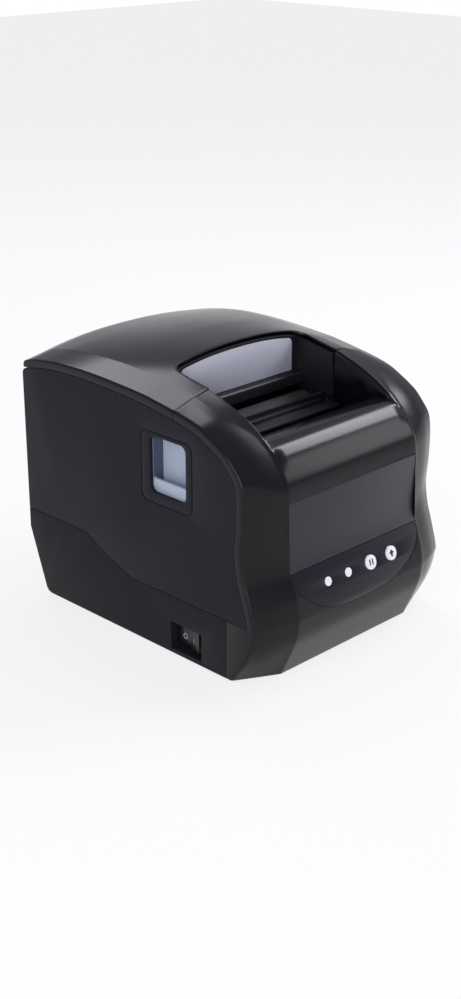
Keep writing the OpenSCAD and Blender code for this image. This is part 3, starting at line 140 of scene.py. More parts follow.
# The crease also holds its share of the way in from CREASE_X to the panel.
FRONT_CREASE = [
    (0, FRONT_Y, SEAM_Z + 4.5), (0, run(0.231), SEAM_Z + 1.4), (0.05, run(0.441), SEAM_Z - 1.9),
    (0.45, run(0.609), SEAM_Z - 5.4), (0.82, run(0.756), SEAM_Z - 8.9),
    (0.96, run(0.893), SEAM_Z - 13.5), (1, run(1.011), SEAM_Z - 18.6),
    (1, NOSE + 13.4, BEND_Z - 0.2), (1, NOSE + 9.6, rise(0.899)), (1, NOSE + 8.7, rise(0.799)),
    (1, NOSE + 8.7, rise(0.61)), (1, NOSE + 8.7, rise(0.42)), (1, NOSE + 7.2, rise(0.325)),
    (1, NOSE + 4.4, rise(0.229)), (1, NOSE + 1.8, rise(0.134)), (1, NOSE + 0.5, rise(0.039)),
    (1, NOSE + 0.4, SPLIT_FRONT_Z + 0.3)]
FRONT_CREASE_LOW = [
    (1, NOSE + 0.5, SPLIT_FRONT_Z - 0.5), (1, NOSE + 2.2, 24.3), (1, NOSE + 6.4, 14),
    (1, NOSE + 12.4, FLOOR_Z)]
FRONT_RIM = [
    (FRONT_Y, SEAM_Z + 6.3), (run(0.242), SEAM_Z + 2.7), (run(0.441), SEAM_Z - 0.8),
    (run(0.609), SEAM_Z - 4.2), (run(0.756), SEAM_Z - 8.2), (run(0.893), SEAM_Z - 13),
    (run(1.019), SEAM_Z - 18.2), (NOSE + 13, BEND_Z), (NOSE + 9.2, rise(0.901)),
    (NOSE + 8.3, rise(0.799)), (NOSE + 8.3, rise(0.61)), (NOSE + 8.3, rise(0.42)),
    (NOSE + 6.8, rise(0.325)), (NOSE + 4, rise(0.229)), (NOSE + 1.4, rise(0.134)),
    (NOSE + 0.1, rise(0.039)), (NOSE, SPLIT_FRONT_Z + 0.3)]
FRONT_RIM_LOW = [
    (NOSE + 0.1, SPLIT_FRONT_Z - 0.5), (NOSE + 1.8, 24.3), (NOSE + 6, 14), (NOSE + 12, FLOOR_Z)]
# Floor of the recess in front of the blade, then the brow that the labels pass over.
FRONT_FLOOR = [
    (FRONT_Y, BROW_Z - 10), (run(0.252), BROW_Z - 10), (run(0.504), BROW_Z),
    (run(0.641), BROW_Z + 2.7), (run(0.746), BROW_Z + 3.6), (run(0.861), BROW_Z + 3.3),
    (run(1.008), BROW_Z), (NOSE + 13.1, BEND_Z + 0.2)] + FRONT_RIM[8:]
COVER_SPLIT_Y = NOSE + 28.7


# ------------------------------------------------------------------ curves

def smooth(keys, n):
    """Points of a smooth curve through every key, n steps between two keys."""
    keys = np.asarray(keys, float)
    last = len(keys) - 1
    points = []
    for i in range(last):
        a, b, c, d = keys[max(i - 1, 0)], keys[i], keys[i + 1], keys[min(i + 2, last)]
        for t in np.arange(n) / n:
            points.append(0.5 * (2 * b + (c - a) * t + (2 * a - 5 * b + 4 * c - d) * t * t
                                 + (3 * b - a - 3 * c + d) * t ** 3))
    return np.array(points + [keys[last]])


def shifted(line, d):
    """A line of (y, z) points moved sideways by d, to the left of its own direction."""
    line = np.asarray(line, float)
    out = []
    for i, p in enumerate(line):
        t = line[min(i + 1, len(line) - 1)] - line[max(i - 1, 0)]
        t = t / np.linalg.norm(t)
        out.append(p + d * np.array([-t[1], t[0]]))
    return np.array(out)


def corner(before, point, after, radius, n):
    """A rounded corner at point, between the directions to before and after."""
    a = point + radius * (before - point) / np.linalg.norm(before - point)
    b = point + radius * (after - point) / np.linalg.norm(after - point)
    return [(1 - t) ** 2 * a + 2 * t * (1 - t) * point + t * t * b for t in np.arange(n + 1) / n]


# ------------------------------------------------------------------ materials

def linear(code):
    """#rrggbb as a linear colour."""
    channels = [int(code[i:i + 2], 16) / 255 for i in (1, 3, 5)]
    return [c / 12.92 if c <= 0.04045 else ((c + 0.055) / 1.055) ** 2.4 for c in channels] + [1.0]


def shader(name, colour, rough, metal=0.0, grain=0.0, specular=0.5, glow=0.0):
    """A plastic, rubber or metal, with an optional fine moulded grain."""
    mat = bpy.data.materials.new(name)
    mat.use_nodes = True
    tree = mat.node_tree
    bsdf = tree.nodes["Principled BSDF"]
    bsdf.inputs["Base Color"].default_value = linear(colour)
    bsdf.inputs["Roughness"].default_value = rough
    bsdf.inputs["Metallic"].default_value = metal
    bsdf.inputs["Specular IOR Level"].default_value = specular
    if glow:
        bsdf.inputs["Emission Color"].default_value = linear(colour)
        bsdf.inputs["Emission Strength"].default_value = glow
    if grain:
        add_grain(tree, bsdf, grain)
    return mat


def add_grain(tree, bsdf, strength):
    """A fine bump, as of a moulded surface, with its pitch and depth in metres."""
    pitch, depth = 0.0004, 0.0001
    place = tree.nodes.new("ShaderNodeTexCoord")
    noise = tree.nodes.new("ShaderNodeTexNoise")
    noise.inputs["Scale"].default_value = 1 / pitch
    noise.inputs["Detail"].default_value = 2
    bump = tree.nodes.new("ShaderNodeBump")
    bump.inputs["Strength"].default_value = strength
    bump.inputs["Distance"].default_value = depth
    tree.links.new(place.outputs["Object"], noise.inputs["Vector"])
    tree.links.new(noise.outputs["Fac"], bump.inputs["Height"])
    tree.links.new(bump.outputs["Normal"], bsdf.inputs["Normal"])


GLOSS = shader("gloss_shell", "#09090f", 0.2, specular=0.25)
SIDE = shader("matte_side", "#1b1a22", 0.55, grain=0.25, specular=0.15)
BASE = shader("matte_base", "#1b1a20", 0.55, grain=0.25, specular=0.15)
INSERT = shader("satin_insert", "#232229", 0.36, specular=0.4)
PANEL = shader("dark_panel", "#16141f", 0.3, specular=0.2)
FRAME_BLACK = shader("frame_black", "#17171e", 0.45, specular=0.3)
WINDOW = shader("smoke_window", "#bcbdca", 0.3, specular=0.3)
CUP = shader("grey_blue_lever", "#a9b4c6", 0.42)
# Dark grey-blue used only as painted shade: a sheet on the lever cup's rear wall, darkened as if in
# shadow.
PAINTED_SHADE = shader("painted_shade_grey_blue", "#454e62", 0.5)
WHITE = shader("white_button", "#eeecf4", 0.4)
LED_WHITE = shader("white_lens", "#e4e1ee", 0.3, glow=0.08)
ICON = shader("dark_icon", "#26262c", 0.5)
MARK = shader("pale_mark", "#a9a9ae", 0.5)
RUBBER = shader("rubber", "#17171a", 0.75, grain=0.3)
STEEL = shader("steel", "#8f9399", 0.38, metal=0.9)
DARK_STEEL = shader("dark_steel", "#1d1d22", 0.4, metal=0.3, specular=0.3)
BRIGHT = shader("bright_steel", "#c4c7cc", 0.22, metal=1.0)
BRASS = shader("brass", "#c79b4a", 0.3, metal=1.0)
NYLON = shader("nylon", "#e4e0d4", 0.45)
CERAMIC = shader("ceramic", "#cfc9b8", 0.3)
BOARD = shader("circuit_board", "#1d5232", 0.45)
CHIP = shader("chip_black", "#1b1b1e", 0.5)
GREY = shader("grey_guide", "#3a3c44", 0.5)
BIN = shader("bin_black", "#18181b", 0.5, grain=0.2)
CABLE = shader("flat_cable", "#d8d5cc", 0.5)
SWITCH = shader("switch_black", "#0e0e11", 0.35)

FINISH = {
    "upper_case": SIDE, "base_case": BASE, "front_cover": GLOSS, "front_insert": INSERT,
    "control_panel": PANEL, "status_lenses": LED_WHITE, "pause_button": WHITE,
    "feed_button": WHITE, "button_board": BOARD, "tact_switches": CHIP, "status_leds": NYLON,
    "lid_cover": GLOSS, "lid_frame": FRAME_BLACK, "lid_window": WINDOW, "lid_screws": STEEL,
    "hinge_pins": BRIGHT, "platen_shaft": BRIGHT, "platen_rubber": RUBBER, "platen_gear": NYLON,
    "platen_bushes": CHIP, "chassis": DARK_STEEL, "head_bracket": DARK_STEEL,
    "thermal_head": CERAMIC, "head_heatsink": DARK_STEEL, "head_springs": BRIGHT,
    "head_pin": BRIGHT, "tear_blade": DARK_STEEL, "stepper_motor": STEEL,
    "motor_pinion": BRASS, "idler_gear": NYLON, "idler_pin": BRIGHT,
    "latch_shaft": BRIGHT, "latch_hooks": STEEL, "release_lever": CUP, "latch_spring": BRIGHT,
    "paper_bin": BIN, "roll_guide_left": GREY, "roll_guide_right": GREY, "guide_pinion": NYLON,
    "main_board": BOARD, "board_parts": CHIP, "power_jack": CHIP, "usb_port": BRIGHT,
    "rear_panel": BASE, "head_cable": CABLE, "power_switch_body": SWITCH, "power_rocker": SWITCH,
    "gap_sensor": CHIP, "cover_sensor": CHIP, "rubber_feet": RUBBER, "base_screws": STEEL,
    "chassis_screws": STEEL, "board_screws": STEEL,
}


# ------------------------------------------------------------------ shaping helpers

# Points this close are one point, in metres.
SAME_PLACE = 1e-6
# Degrees from which the two skins show an edge.
SKIN_ANGLE = 60
# What takes a point to the other side.
MIRROR = [-1, 1, 1]


def angle_smoothing():
    """Node group that shades smooth, with sharp edges above an angle."""
    tree = bpy.data.node_groups.new("smooth_by_angle", "GeometryNodeTree")
    tree.interface.new_socket("Geometry", in_out="INPUT", socket_type="NodeSocketGeometry")
    tree.interface.new_socket("Angle", in_out="INPUT", socket_type="NodeSocketFloat")
    tree.interface.new_socket("Geometry", in_out="OUTPUT", socket_type="NodeSocketGeometry")
    source = tree.nodes.new("NodeGroupInput")
    target = tree.nodes.new("NodeGroupOutput")
    angle = tree.nodes.new("GeometryNodeInputMeshEdgeAngle")
    over = tree.nodes.new("FunctionNodeCompare")
    over.data_type = "FLOAT"
    over.operation = "GREATER_THAN"
    normals = tree.nodes.new("GeometryNodeSetMeshNormal")
    normals.mode = "SHARPNESS"
    tree.links.new(source.outputs["Geometry"], normals.inputs["Mesh"])
    tree.links.new(angle.outputs["Unsigned Angle"], over.inputs["A"])
    tree.links.new(source.outputs["Angle"], over.inputs["B"])
    tree.links.new(over.outputs["Result"], normals.inputs["Edge Sharpness"])
    normals.inputs["Remove Custom"].default_value = True
    tree.links.new(normals.outputs["Mesh"], target.inputs["Geometry"])
    return tree


SMOOTHING = angle_smoothing()


def shade(obj, degrees=28):
    """Smooth shading that keeps the edges sharper than an angle."""
    modifier = obj.modifiers.new("smooth", "NODES")
    modifier.node_group = SMOOTHING
    socket = [s for s in SMOOTHING.interface.items_tree if s.name == "Angle"][0]
    modifier[socket.identifier] = math.radians(degrees)


def round_edges(obj, width):
    """A small round on every sharp edge."""
    sharp = math.radians(35)
    modifier = obj.modifiers.new("round", "BEVEL")
    modifier.width = width * MM
    modifier.segments = 2
    modifier.limit_method = "ANGLE"
    modifier.angle_limit = sharp
    modifier.harden_normals = True
    modifier.use_clamp_overlap = True


def weld(obj):
    """Joins the points that lie on each other."""
    modifier = obj.modifiers.new("weld", "WELD")
    modifier.merge_threshold = SAME_PLACE


def piece(name, points, faces, mat, body, replaced=()):
    """A new mesh piece from points in millimetres."""
    mesh = bpy.data.meshes.new(name)
    mesh.from_pydata([tuple(float(c) * MM for c in p) for p in points], [], faces)
    mesh.materials.append(mat)
    mesh.polygons.foreach_set("use_smooth", [True] * len(mesh.polygons))
    obj = bpy.data.objects.new(name, mesh)
    bpy.context.collection.objects.link(obj)
    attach(obj, body)
    if replaced:
        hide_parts(*replaced)
    return obj


def across(keys, margin, n):
    """n points spread over a smooth curve, with a margin free at both ends."""
    steps = 24
    fine = smooth(keys, steps)
    way = np.concatenate([[0], np.cumsum(np.linalg.norm(np.diff(fine, axis=0), axis=1))])
    places = np.linspace(margin, way[-1] - margin, n)
    return list(np.stack([np.interp(places, way, fine[:, k]) for k in range(3)], axis=1))


def at(start, towards, distance):
    """A point at a distance from start."""
    return start + distance * (towards - start) / np.linalg.norm(towards - start)


def thicken(obj, wall):
    """Gives an open skin its wall, and returns what tells the skin's own points."""
    skin = PointSet(obj)
    modifier = obj.modifiers.new("wall", "SOLIDIFY")
    modifier.thickness = wall * MM
    modifier.offset = -1
    apply_modifiers(obj)
    outward(obj)
    return skin


class PointSet:
    """The points of a mesh, in millimetres, for asking whether a point is one of them."""

    def __init__(self, obj):
        self.tree = kdtree.KDTree(len(obj.data.vertices))
        for i, v in enumerate(obj.data.vertices):
            self.tree.insert(v.co / MM, i)
        self.tree.balance()

    def __contains__(self, point):
        reach = 0.002
        return self.tree.find(point)[2] < reach


def soften_lips(obj, skin, width):
    """Rounds the sharp edges whose points all belong to the outer skin."""
    sharp = math.radians(55)
    bm = bmesh.new()
    bm.from_mesh(obj.data)
    bmesh.ops.remove_doubles(bm, verts=bm.verts, dist=SAME_PLACE)
    weight = bm.edges.layers.float.new("bevel_weight_edge")
    outer = {v for v in bm.verts if v.co / MM in skin}
    for e in bm.edges:
        if set(e.verts) <= outer and e.calc_face_angle(0) > sharp:
            e[weight] = 1
    bm.to_mesh(obj.data)
    bm.free()
    modifier = obj.modifiers.new("lip", "BEVEL")
    modifier.limit_method = "WEIGHT"
    modifier.width = width * MM
    modifier.segments = 3


def outward(obj):
    """Welds a mesh, drops its loose points and turns its faces outward."""
    bm = bmesh.new()
    bm.from_mesh(obj.data)
    bmesh.ops.remove_doubles(bm, verts=bm.verts, dist=SAME_PLACE)
    loose = [v for v in bm.verts if not v.link_faces]
    bmesh.ops.delete(bm, geom=loose, context="VERTS")
    bmesh.ops.recalc_face_normals(bm, faces=bm.faces)
    bm.to_mesh(obj.data)
    bm.free()


def apply_modifiers(obj):
    """The object's mesh with its modifiers made real."""
    graph = bpy.context.evaluated_depsgraph_get()
    mesh = bpy.data.meshes.new_from_object(obj.evaluated_get(graph))
    obj.modifiers.clear()
    obj.data = mesh


def face_up(obj):
    """Turns an open skin so that most of its area faces up or forward."""
    total = sum((p.normal.z - p.normal.y) * p.area for p in obj.data.polygons)
    if total < 0:
        obj.data.flip_normals()


def finish_skin(obj, lip_width):
    """Gives an open skin its direction, its wall and its softened lips."""
    outward(obj)
    face_up(obj)
    soften_lips(obj, thicken(obj, LIP), lip_width)
    shade(obj, SKIN_ANGLE)


def whole_row(half):
    """A row of points from one side to the other, from the half that ends in the middle."""
    return half + [p * MIRROR for p in half[-2::-1]]


def grid_faces(rows, columns, is_open):
    """Quads between the points of a grid, left out where it is open."""
    faces = []
    for r in range(rows - 1):
        for c in range(columns - 1):
            if not is_open(r, c):
                a = r * columns + c
                faces.append((a, a + columns, a + columns + 1, a + 1))
    return faces


# ------------------------------------------------------------------ lid skin

LID_KEYS = smooth(LID_RUN, 40)
# Columns of a lid station.
EDGE, CREASE, CROWN = 1, 2, 3
# Steps between two keys of the tail, and points round a corner of the exit.
TAIL_STEPS, FILLET_POINTS = 6, 9
LID_NOTCH, LID_EXIT = NOTCH_HW + RIM_STEP, EXIT_Y + RIM_STEP


def lid_line(y, column):
    """Height of the lid's side edge, crease or crown at a place along the machine."""
    return np.interp(y, LID_KEYS[::-1, 0], LID_KEYS[::-1, column])


def between_lines(x, edge, crease, crown):
    """A value across the lid at a distance from its middle, from those of its three lines."""
    if x > CREASE_X:
        return crease + (edge - crease) * ((x - CREASE_X) / (HW - CREASE_X))
    return crease + (crown - crease) * (1 - (x / CREASE_X) ** CROWN_POWER)


def lid_height(x, y):
    """Height of the lid over (x, y)."""
    return between_lines(x, *(lid_line(y, line) for line in (EDGE, CREASE, CROWN)))


def lid_columns():
    """Distances from the middle, from the side edge in."""
    band = HW - np.array([0, 1.5, 4.5, 8, 11])
    crease = CREASE_X + np.array([1.8, 0.6, 0, -0.6, -1.8])
    beside_exit = [56.6, 54.5, 52.5, 50.9]
    fillet = np.linspace(LID_NOTCH, LID_NOTCH - EXIT_R, FILLET_POINTS)
    inner = np.linspace(LID_NOTCH - EXIT_R, 0, 17)[1:]
    return np.concatenate([band, crease, beside_exit, fillet, inner])


def lid_rows():
    """Places along the machine, from the hinge to the seam."""
    rear = np.linspace(TAIL_Y, LID_EXIT, 45)
    fillet = np.linspace(LID_EXIT, LID_EXIT - EXIT_R, FILLET_POINTS)[1:]
    front = np.linspace(LID_EXIT - EXIT_R, SEAM_Y, 12)[1:]
    return np.concatenate([rear, fillet, front])


def on_exit_corner(x, y):
    """Where the square corner of the exit meets its round corner."""
    cx, cy = LID_NOTCH - EXIT_R, LID_EXIT - EXIT_R
    u, v = (x - cx) / EXIT_R, (y - cy) / EXIT_R
    angle = math.pi / 4 * (v if u >= v else 2 - u)
    return cx + EXIT_R * math.cos(angle), cy + EXIT_R * math.sin(angle)


def bent_grid(xs, ys):
    """The plan grid, drawn in round the corners of the exit."""
    reach, slack = 5, 1e-6
    round_x = [i for i, x in enumerate(xs) if LID_NOTCH - EXIT_R - slack <= x <= LID_NOTCH + slack]
    round_y = [j for j, y in enumerate(ys) if LID_EXIT - EXIT_R - slack <= y <= LID_EXIT + slack]
    rim = {(i, round_y[0]) for i in round_x} | {(round_x[0], j) for j in round_y}
    shift = {}
    for i, j in rim:
        x, y = on_exit_corner(xs[i], ys[j])
        shift[i, j] = (x - xs[i], y - ys[j])
    plan = {}
    for j, y in enumerate(ys):
        for i, x in enumerate(xs):
            near = min(rim, key=lambda k: (max(abs(k[0] - i), abs(k[1] - j)),
                                           abs(k[0] - i) + abs(k[1] - j)))
            steps = max(abs(near[0] - i), abs(near[1] - j))
            share = max(0.0, 1 - steps / reach)
            dx, dy = shift[near]
            plan[i, j] = (x + dx * share, y + dy * share)
    return plan


def lid_tail(xs):
    """Foot and points of each row round the lid's tail, from the hinge up."""
    keys = [list(station) for station in LID_TAIL]
    for y, edge, crease, crown in LID_RUN[:2]:
        keys.append([(y, edge - STRIP_H), (y, edge), (y, crease), (y, crown)])
    rows = []
    for foot, edge, crease, crown in smooth(keys, TAIL_STEPS)[:len(LID_TAIL) * TAIL_STEPS]:
        row = [np.array((x, *between_lines(x, edge, crease, crown))) for x in xs]
        rows.append((np.array((HW, *foot)), row))
    return rows


def lid_skin():
    """The lid as one curved skin with its exit cut out."""
    xs, ys = lid_columns(), lid_rows()
    plan = bent_grid(xs, ys)
    rows = lid_tail(xs)
    notch_row = len(rows) + int(np.argmin(abs(ys - LID_EXIT)))
    for j, y in enumerate(ys):
        places = [plan[i, j] for i in range(len(xs))]
        row = [np.array((px, py, lid_height(px, py))) for px, py in places]
        rows.append((np.array((HW, y, lid_line(y, EDGE) - STRIP_H)), row))
    points = []
    for foot, row in rows:
        turn = corner(foot, row[0], row[1], TURN_R, TURN_STEPS)
        points += whole_row([foot] + turn + row[1:])
    m = len(points) // len(rows)
    notch_col = 1 + TURN_STEPS + int(np.argmin(abs(xs - LID_NOTCH)))
    faces = grid_faces(len(rows), m,
                       lambda r, c: r >= notch_row and notch_col <= c < m - 1 - notch_col)
    lid = piece("lid_shell", points, faces, GLOSS, "lid", ["lid_cover"])
    finish_skin(lid, lip_width=0.45)


# ------------------------------------------------------------------ front cover skin

# Steps between two keys of the front cover's lines.
LINE_STEPS = 6
# The side band: how it bulges per millimetre of its width, its free ends and its points.
BAND_BULGE = np.array((0, -0.045, 0.02))
BAND_MARGIN, BAND_POINTS = 2.2, 8
# Distance from a crease to the points on both sides that hold it.
CREASE_HOLD = 0.6
# A recess deeper than this has a ledge below its rim, at a share of its depth at most.
LEDGE_FROM = 3
LEDGE_DEPTH, LEDGE_SHARE = 1.8, 0.3
# Rounding of the rim and of the ledge.
RIM_R, LEDGE_R = 0.5, 0.2
# Points across half of the middle, between the recess walls.
MIDDLE_POINTS = 10
# Least distance from the panels to the rows of points above and below them.
PANEL_CLEAR = 0.6


def front_lines():
    """Foot, edge, crease, rim and floor, and how many rows have no floor between the walls."""
    foot = shifted(FRONT_EDGE, STRIP_H)
    foot[:, 0] = np.minimum(foot[:, 0], FRONT_Y)
    foot_low = [(COVER_SPLIT_Y, z + 0.1) for _, z in FRONT_EDGE_LOW]
    upper = [smooth(k, LINE_STEPS)
             for k in (foot, FRONT_EDGE, FRONT_CREASE, FRONT_RIM, FRONT_FLOOR)]
    lower = [smooth(k, LINE_STEPS)
             for k in (foot_low, FRONT_EDGE_LOW, FRONT_CREASE_LOW, FRONT_RIM_LOW, FRONT_RIM_LOW)]
    return [np.concatenate([a, b]) for a, b in zip(upper, lower)], 2 * LINE_STEPS


def recess_wall(shoulder, rim, floor):
    """Points from the rim down to the recess floor, by way of a ledge where it is deep."""
    down = floor[1:] - rim[1:]
    drop = np.linalg.norm(down)
    if drop <= LEDGE_FROM:
        return [rim + (floor - rim) * t for t in np.linspace(0, 0.95, TURN_STEPS + 5)]
    ledge = rim + (0, *(down / drop * min(LEDGE_DEPTH, drop * LEDGE_SHARE)))
    inner = ledge - (RIM_STEP, 0, 0)
    return (corner(shoulder, rim, ledge, RIM_R, TURN_STEPS) + corner(rim, ledge, inner, LEDGE_R, 1)
            + corner(ledge, inner, floor, LEDGE_R, 1))


def front_half(foot, edge, crease, rim, floor):
    """Points from the foot to the middle, and the columns of the shoulder and the floor."""
    share, *crease = crease
    crease_x = CREASE_X + (SHOULDER_X + 1 - CREASE_X) * share
    foot, edge = np.array((HW, *foot)), np.array((HW, *edge))
    t = (SHOULDER_X - NOTCH_HW) / (crease_x - NOTCH_HW)
    shallow = np.linalg.norm(rim - floor) < LEDGE_FROM
    shoulder = np.array((SHOULDER_X, *(rim if shallow else rim + (crease - rim) * t)))
    crease = np.array((crease_x, *crease))
    rim, middle = np.array((NOTCH_HW + RIM_STEP, *rim)), np.array((0, *floor))
    floor = np.array((NOTCH_HW, *floor))
    bulge = (HW - crease_x) * BAND_BULGE
    band = across([edge, (edge + crease) / 2 + bulge, crease], BAND_MARGIN, BAND_POINTS)
    half = [foot] + corner(foot, edge, band[0], TURN_R, TURN_STEPS) + band
    half += [at(crease, band[-1], CREASE_HOLD), crease, at(crease, shoulder, CREASE_HOLD), shoulder]
    shoulder_col = len(half) - 1
    half += recess_wall(shoulder, rim, floor)
    floor_col = len(half)
    half += [floor + (middle - floor) * t for t in np.linspace(0, 1, MIDDLE_POINTS)]
    return half, shoulder_col, floor_col


def front_skin():
    """The front cover as one curved skin with the recess and the panels' opening cut out."""
    lines, open_rows = front_lines()
    points = []
    for stations in zip(*lines):
        half, shoulder_col, floor_col = front_half(*stations)
        points += whole_row(half)
    m = 2 * len(half) - 1
    profile = lines[-1]
    heights = profile[:, 1]
    top_row = max(r for r, z in enumerate(heights) if z > PANEL_TOP_Z + PANEL_CLEAR)
    low_row = min(r for r, z in enumerate(heights) if z < PANEL_LOW_Z - PANEL_CLEAR)

    def is_open(r, c):
        if r < open_rows and floor_col <= c < m - 1 - floor_col:
            return True
        return top_row <= r < low_row and shoulder_col <= c < m - 1 - shoulder_col

    faces = grid_faces(len(profile), m, is_open)
    rows, columns = range(top_row, low_row + 1), range(shoulder_col, m - shoulder_col)
    faces += around_panel(points, m, rows, columns, profile)
    cover = piece("front_shell", points, faces, GLOSS, "case", ["front_cover"])
    finish_skin(cover, lip_width=0.4)


def around_panel(points, m, rows, columns, profile):
    """Fills the front between a frame of grid points and the opening for the panels."""
    gap, clear = 0.2, 0.5
    hole = [np.array(p) for p in panel_outline(gap)]
    border = [(rows[0], c) for c in columns] + [(r, columns[-1]) for r in rows[1:]]
    border += [(rows[-1], c) for c in columns[-2::-1]] + [(r, columns[0]) for r in rows[-2:0:-1]]
    inner = [(r, c) for r in rows[1:-1] for c in columns[1:-1]]
    known = [r * m + c for r, c in border]
    plan = [points[k] for k in known]
    for r, c in inner:
        p = points[r * m + c]
        nearest = min(np.hypot(*(q - (p[0], p[2]))) for q in hole)
        if nearest > clear and not inside(hole, p[0], p[2]):
            known.append(r * m + c)
            plan.append(p)
    flat = [Vector((p[0], p[2])) for p in plan] + [Vector(p) for p in hole]
    loops = []
    for start, n in ((0, len(border)), (len(plan), len(hole))):
        loops += [(start + i, start + (i + 1) % n) for i in range(n)]
    for x, z in hole:
        known.append(len(points))
        points.append(np.array((x, np.interp(z, profile[::-1, 1], profile[::-1, 0]), z)))
    _, _, triangles, origin, _, _ = geometry.delaunay_2d_cdt(flat, loops, [], 0, 1e-5)
    faces = []
    for triangle in triangles:
        ids = [origin[i][0] for i in triangle]
        x, z = sum((flat[i] for i in ids), Vector((0, 0))) / 3
        if not inside(hole, x, z):
            faces.append(tuple(known[i] for i in ids))
    return faces


def inside(loop, x, z):
    """Whether (x, z) is inside a closed loop of points."""
    hit = False
    for (x0, z0), (x1, z1) in zip(loop, loop[1:] + loop[:1]):
        if (z0 > z) != (z1 > z) and x < x0 + (z - z0) / (z1 - z0) * (x1 - x0):
            hit = not hit
    return hit


def panel_outline(g):
    """Outline in (x, z) of the panel let into the front, grown by g."""
    steps = 10
    side = [(PANEL_HW + g, PANEL_LOW_Z + 28), (PANEL_HW - 1 + g, PANEL_LOW_Z + 20),
            (PANEL_HW - 9 + g, PANEL_LOW_Z + 11 - g * 0.7), (PANEL_HW - 22, PANEL_LOW_Z + 3.8 - g),
            (PANEL_HW - 36, PANEL_LOW_Z + 0.8 - g), (0, PANEL_LOW_Z - g)]
    right = smooth(side, steps)
    left = [(-x, z) for x, z in right[-2::-1]]
    return [(PANEL_HW + g, PANEL_TOP_Z + g), *right, *left, (-PANEL_HW - g, PANEL_TOP_Z + g)]


# ------------------------------------------------------------------ finishes on the CAD nodes

# Width of the round on a node's edges.
EDGE_ROUND = {
    "upper_case": 0.6, "base_case": 0.5, "front_insert": 0.3, "control_panel": 0.3,
    "lid_frame": 0.4, "lid_window": 0.3, "release_lever": 0.5, "power_rocker": 0.4,
    "power_switch_body": 0.3, "pause_button": 0.35, "feed_button": 0.35, "paper_bin": 0.4,
    "roll_guide_left": 0.4, "roll_guide_right": 0.4, "rear_panel": 0.3, "chassis": 0.2,
    "stepper_motor": 0.5, "power_jack": 0.3, "usb_port": 0.2, "rubber_feet": 0.6,
    "head_heatsink": 0.2, "status_lenses": 0.3, "platen_rubber": 0.4, "platen_shaft": 0.3,
}


def dress_cad_nodes():
    """Each CAD node in its finish, with softened edges where they show."""
    for name, obj in nodes.items():
        obj.data.materials.clear()
        obj.data.materials.append(FINISH[name])
        weld(obj)
        if name in EDGE_ROUND:
            round_edges(obj, EDGE_ROUND[name])
        shade(obj)


# ------------------------------------------------------------------ marks on the controls

PAUSE_BARS = [[(x - 0.45, -1.7), (x + 0.45, -1.7), (x + 0.45, 1.7), (x - 0.45, 1.7)]
              for x in (-1.05, 1.05)]
FEED_ARROW = [[(-2.1, -0.1), (2.1, -0.1), (0, 2.1)],
              [(-0.7, -1.9), (0.7, -1.9), (0.7, -0.1), (-0.7, -0.1)]]
# Half thickness of the ink on a key, and how far paint stands off its face.
INK, PAINT = 0.06, 0.03


def icon(name, outlines, button, x, body):
    """Ink on the face of a push button."""
    slack = 0.01
    lean = math.radians(PANEL_LEAN)
    out = np.array((0, -math.cos(lean), math.sin(lean)))
    up = np.array((0, math.sin(lean), math.cos(lean)))
    corners = np.array([v.co for v in nodes[button].data.vertices]) / MM
    reach = (corners @ out).max()
    front = corners[corners @ out > reach - slack]
    middle = np.array((x, *front.mean(axis=0)[1:]))
    points, faces = [], []
    for outline in outlines:
        start, n = len(points), len(outline)
        for depth in (-INK, INK):
            points += [middle + (a, 0, 0) + up * b + out * depth for a, b in outline]
        faces.append(tuple(start + n + i for i in range(n)))
        faces += [(start + i, start + (i + 1) % n, start + n + (i + 1) % n, start + n + i)
                  for i in range(n)]
    shade(piece(name, points, faces, ICON, body), 30)


def paint(name, node, direction, mat, body, level=None):
    """Paint on the flat faces of a node at a level along a direction, or furthest out."""
    straight, slack = 0.9995, 0.05
    mesh = nodes[node].data
    direction = Vector(direction).normalized()
    flats = [f for f in mesh.polygons if f.normal.dot(direction) > straight]
    reach = level or max(f.center.dot(direction) for f in flats) / MM
    flats = [f for f in flats if abs(f.center.dot(direction) / MM - reach) < slack]
    used = sorted({v for f in flats for v in f.vertices})
    place = {v: i for i, v in enumerate(used)}
    points = [(mesh.vertices[v].co + direction * PAINT * MM) / MM for v in used]
    shade(piece(name, points, [[place[v] for v in f.vertices] for f in flats], mat, body), 30)


def split_ribs():
    """Ribs behind the joint of base and front cover, so that no light shows through it."""
    across_x, half_y, span_z = (HW - 4, HW - 3.2), 2.5, (3, SPLIT_FRONT_Z + 1)
    for name, side in (("split_rib_left", -1), ("split_rib_right", 1)):
        points = [(side * a, COVER_SPLIT_Y + b, c) for a in across_x for b in (-half_y, half_y)
                  for c in span_z]
        rib = piece(name, points, [(0, 1, 3, 2), (4, 5, 7, 6), (0, 1, 5, 4), (2, 3, 7, 6),
                                   (0, 2, 6, 4), (1, 3, 7, 5)], FRAME_BLACK, "case")
        outward(rib)
        shade(rib)


def mark_controls():
    """Signs on the keys and the rocker, and painted shade: a dark sheet on the rear wall of the
    lever's finger cup.
    """
    icon("pause_icon", PAUSE_BARS, "pause_button", PAUSE_X, "pause_key")
    icon("feed_icon", FEED_ARROW, "feed_button", FEED_X, "feed_key")
    # Painted shade: a dark grey-blue sheet laid on the rear wall of the lever's finger cup, where
    # that wall lies in shadow.
    paint("lever_wall", "release_lever", (0, -1, 0), PAINTED_SHADE, "latch", LEVER_WALL)
    low = math.radians(2 * ROCKER_TILT)
    paint("rocker_off_mark", "power_rocker", (-1, 0, 0), MARK, "rocker")
    paint("rocker_on_mark", "power_rocker", (-math.cos(low), math.sin(low), 0), MARK, "rocker")


# ------------------------------------------------------------------ studio

def new_tree(owner):
    """An empty node tree on a material or a world."""
    owner.use_nodes = True
    owner.node_tree.nodes.clear()
    return owner.node_tree


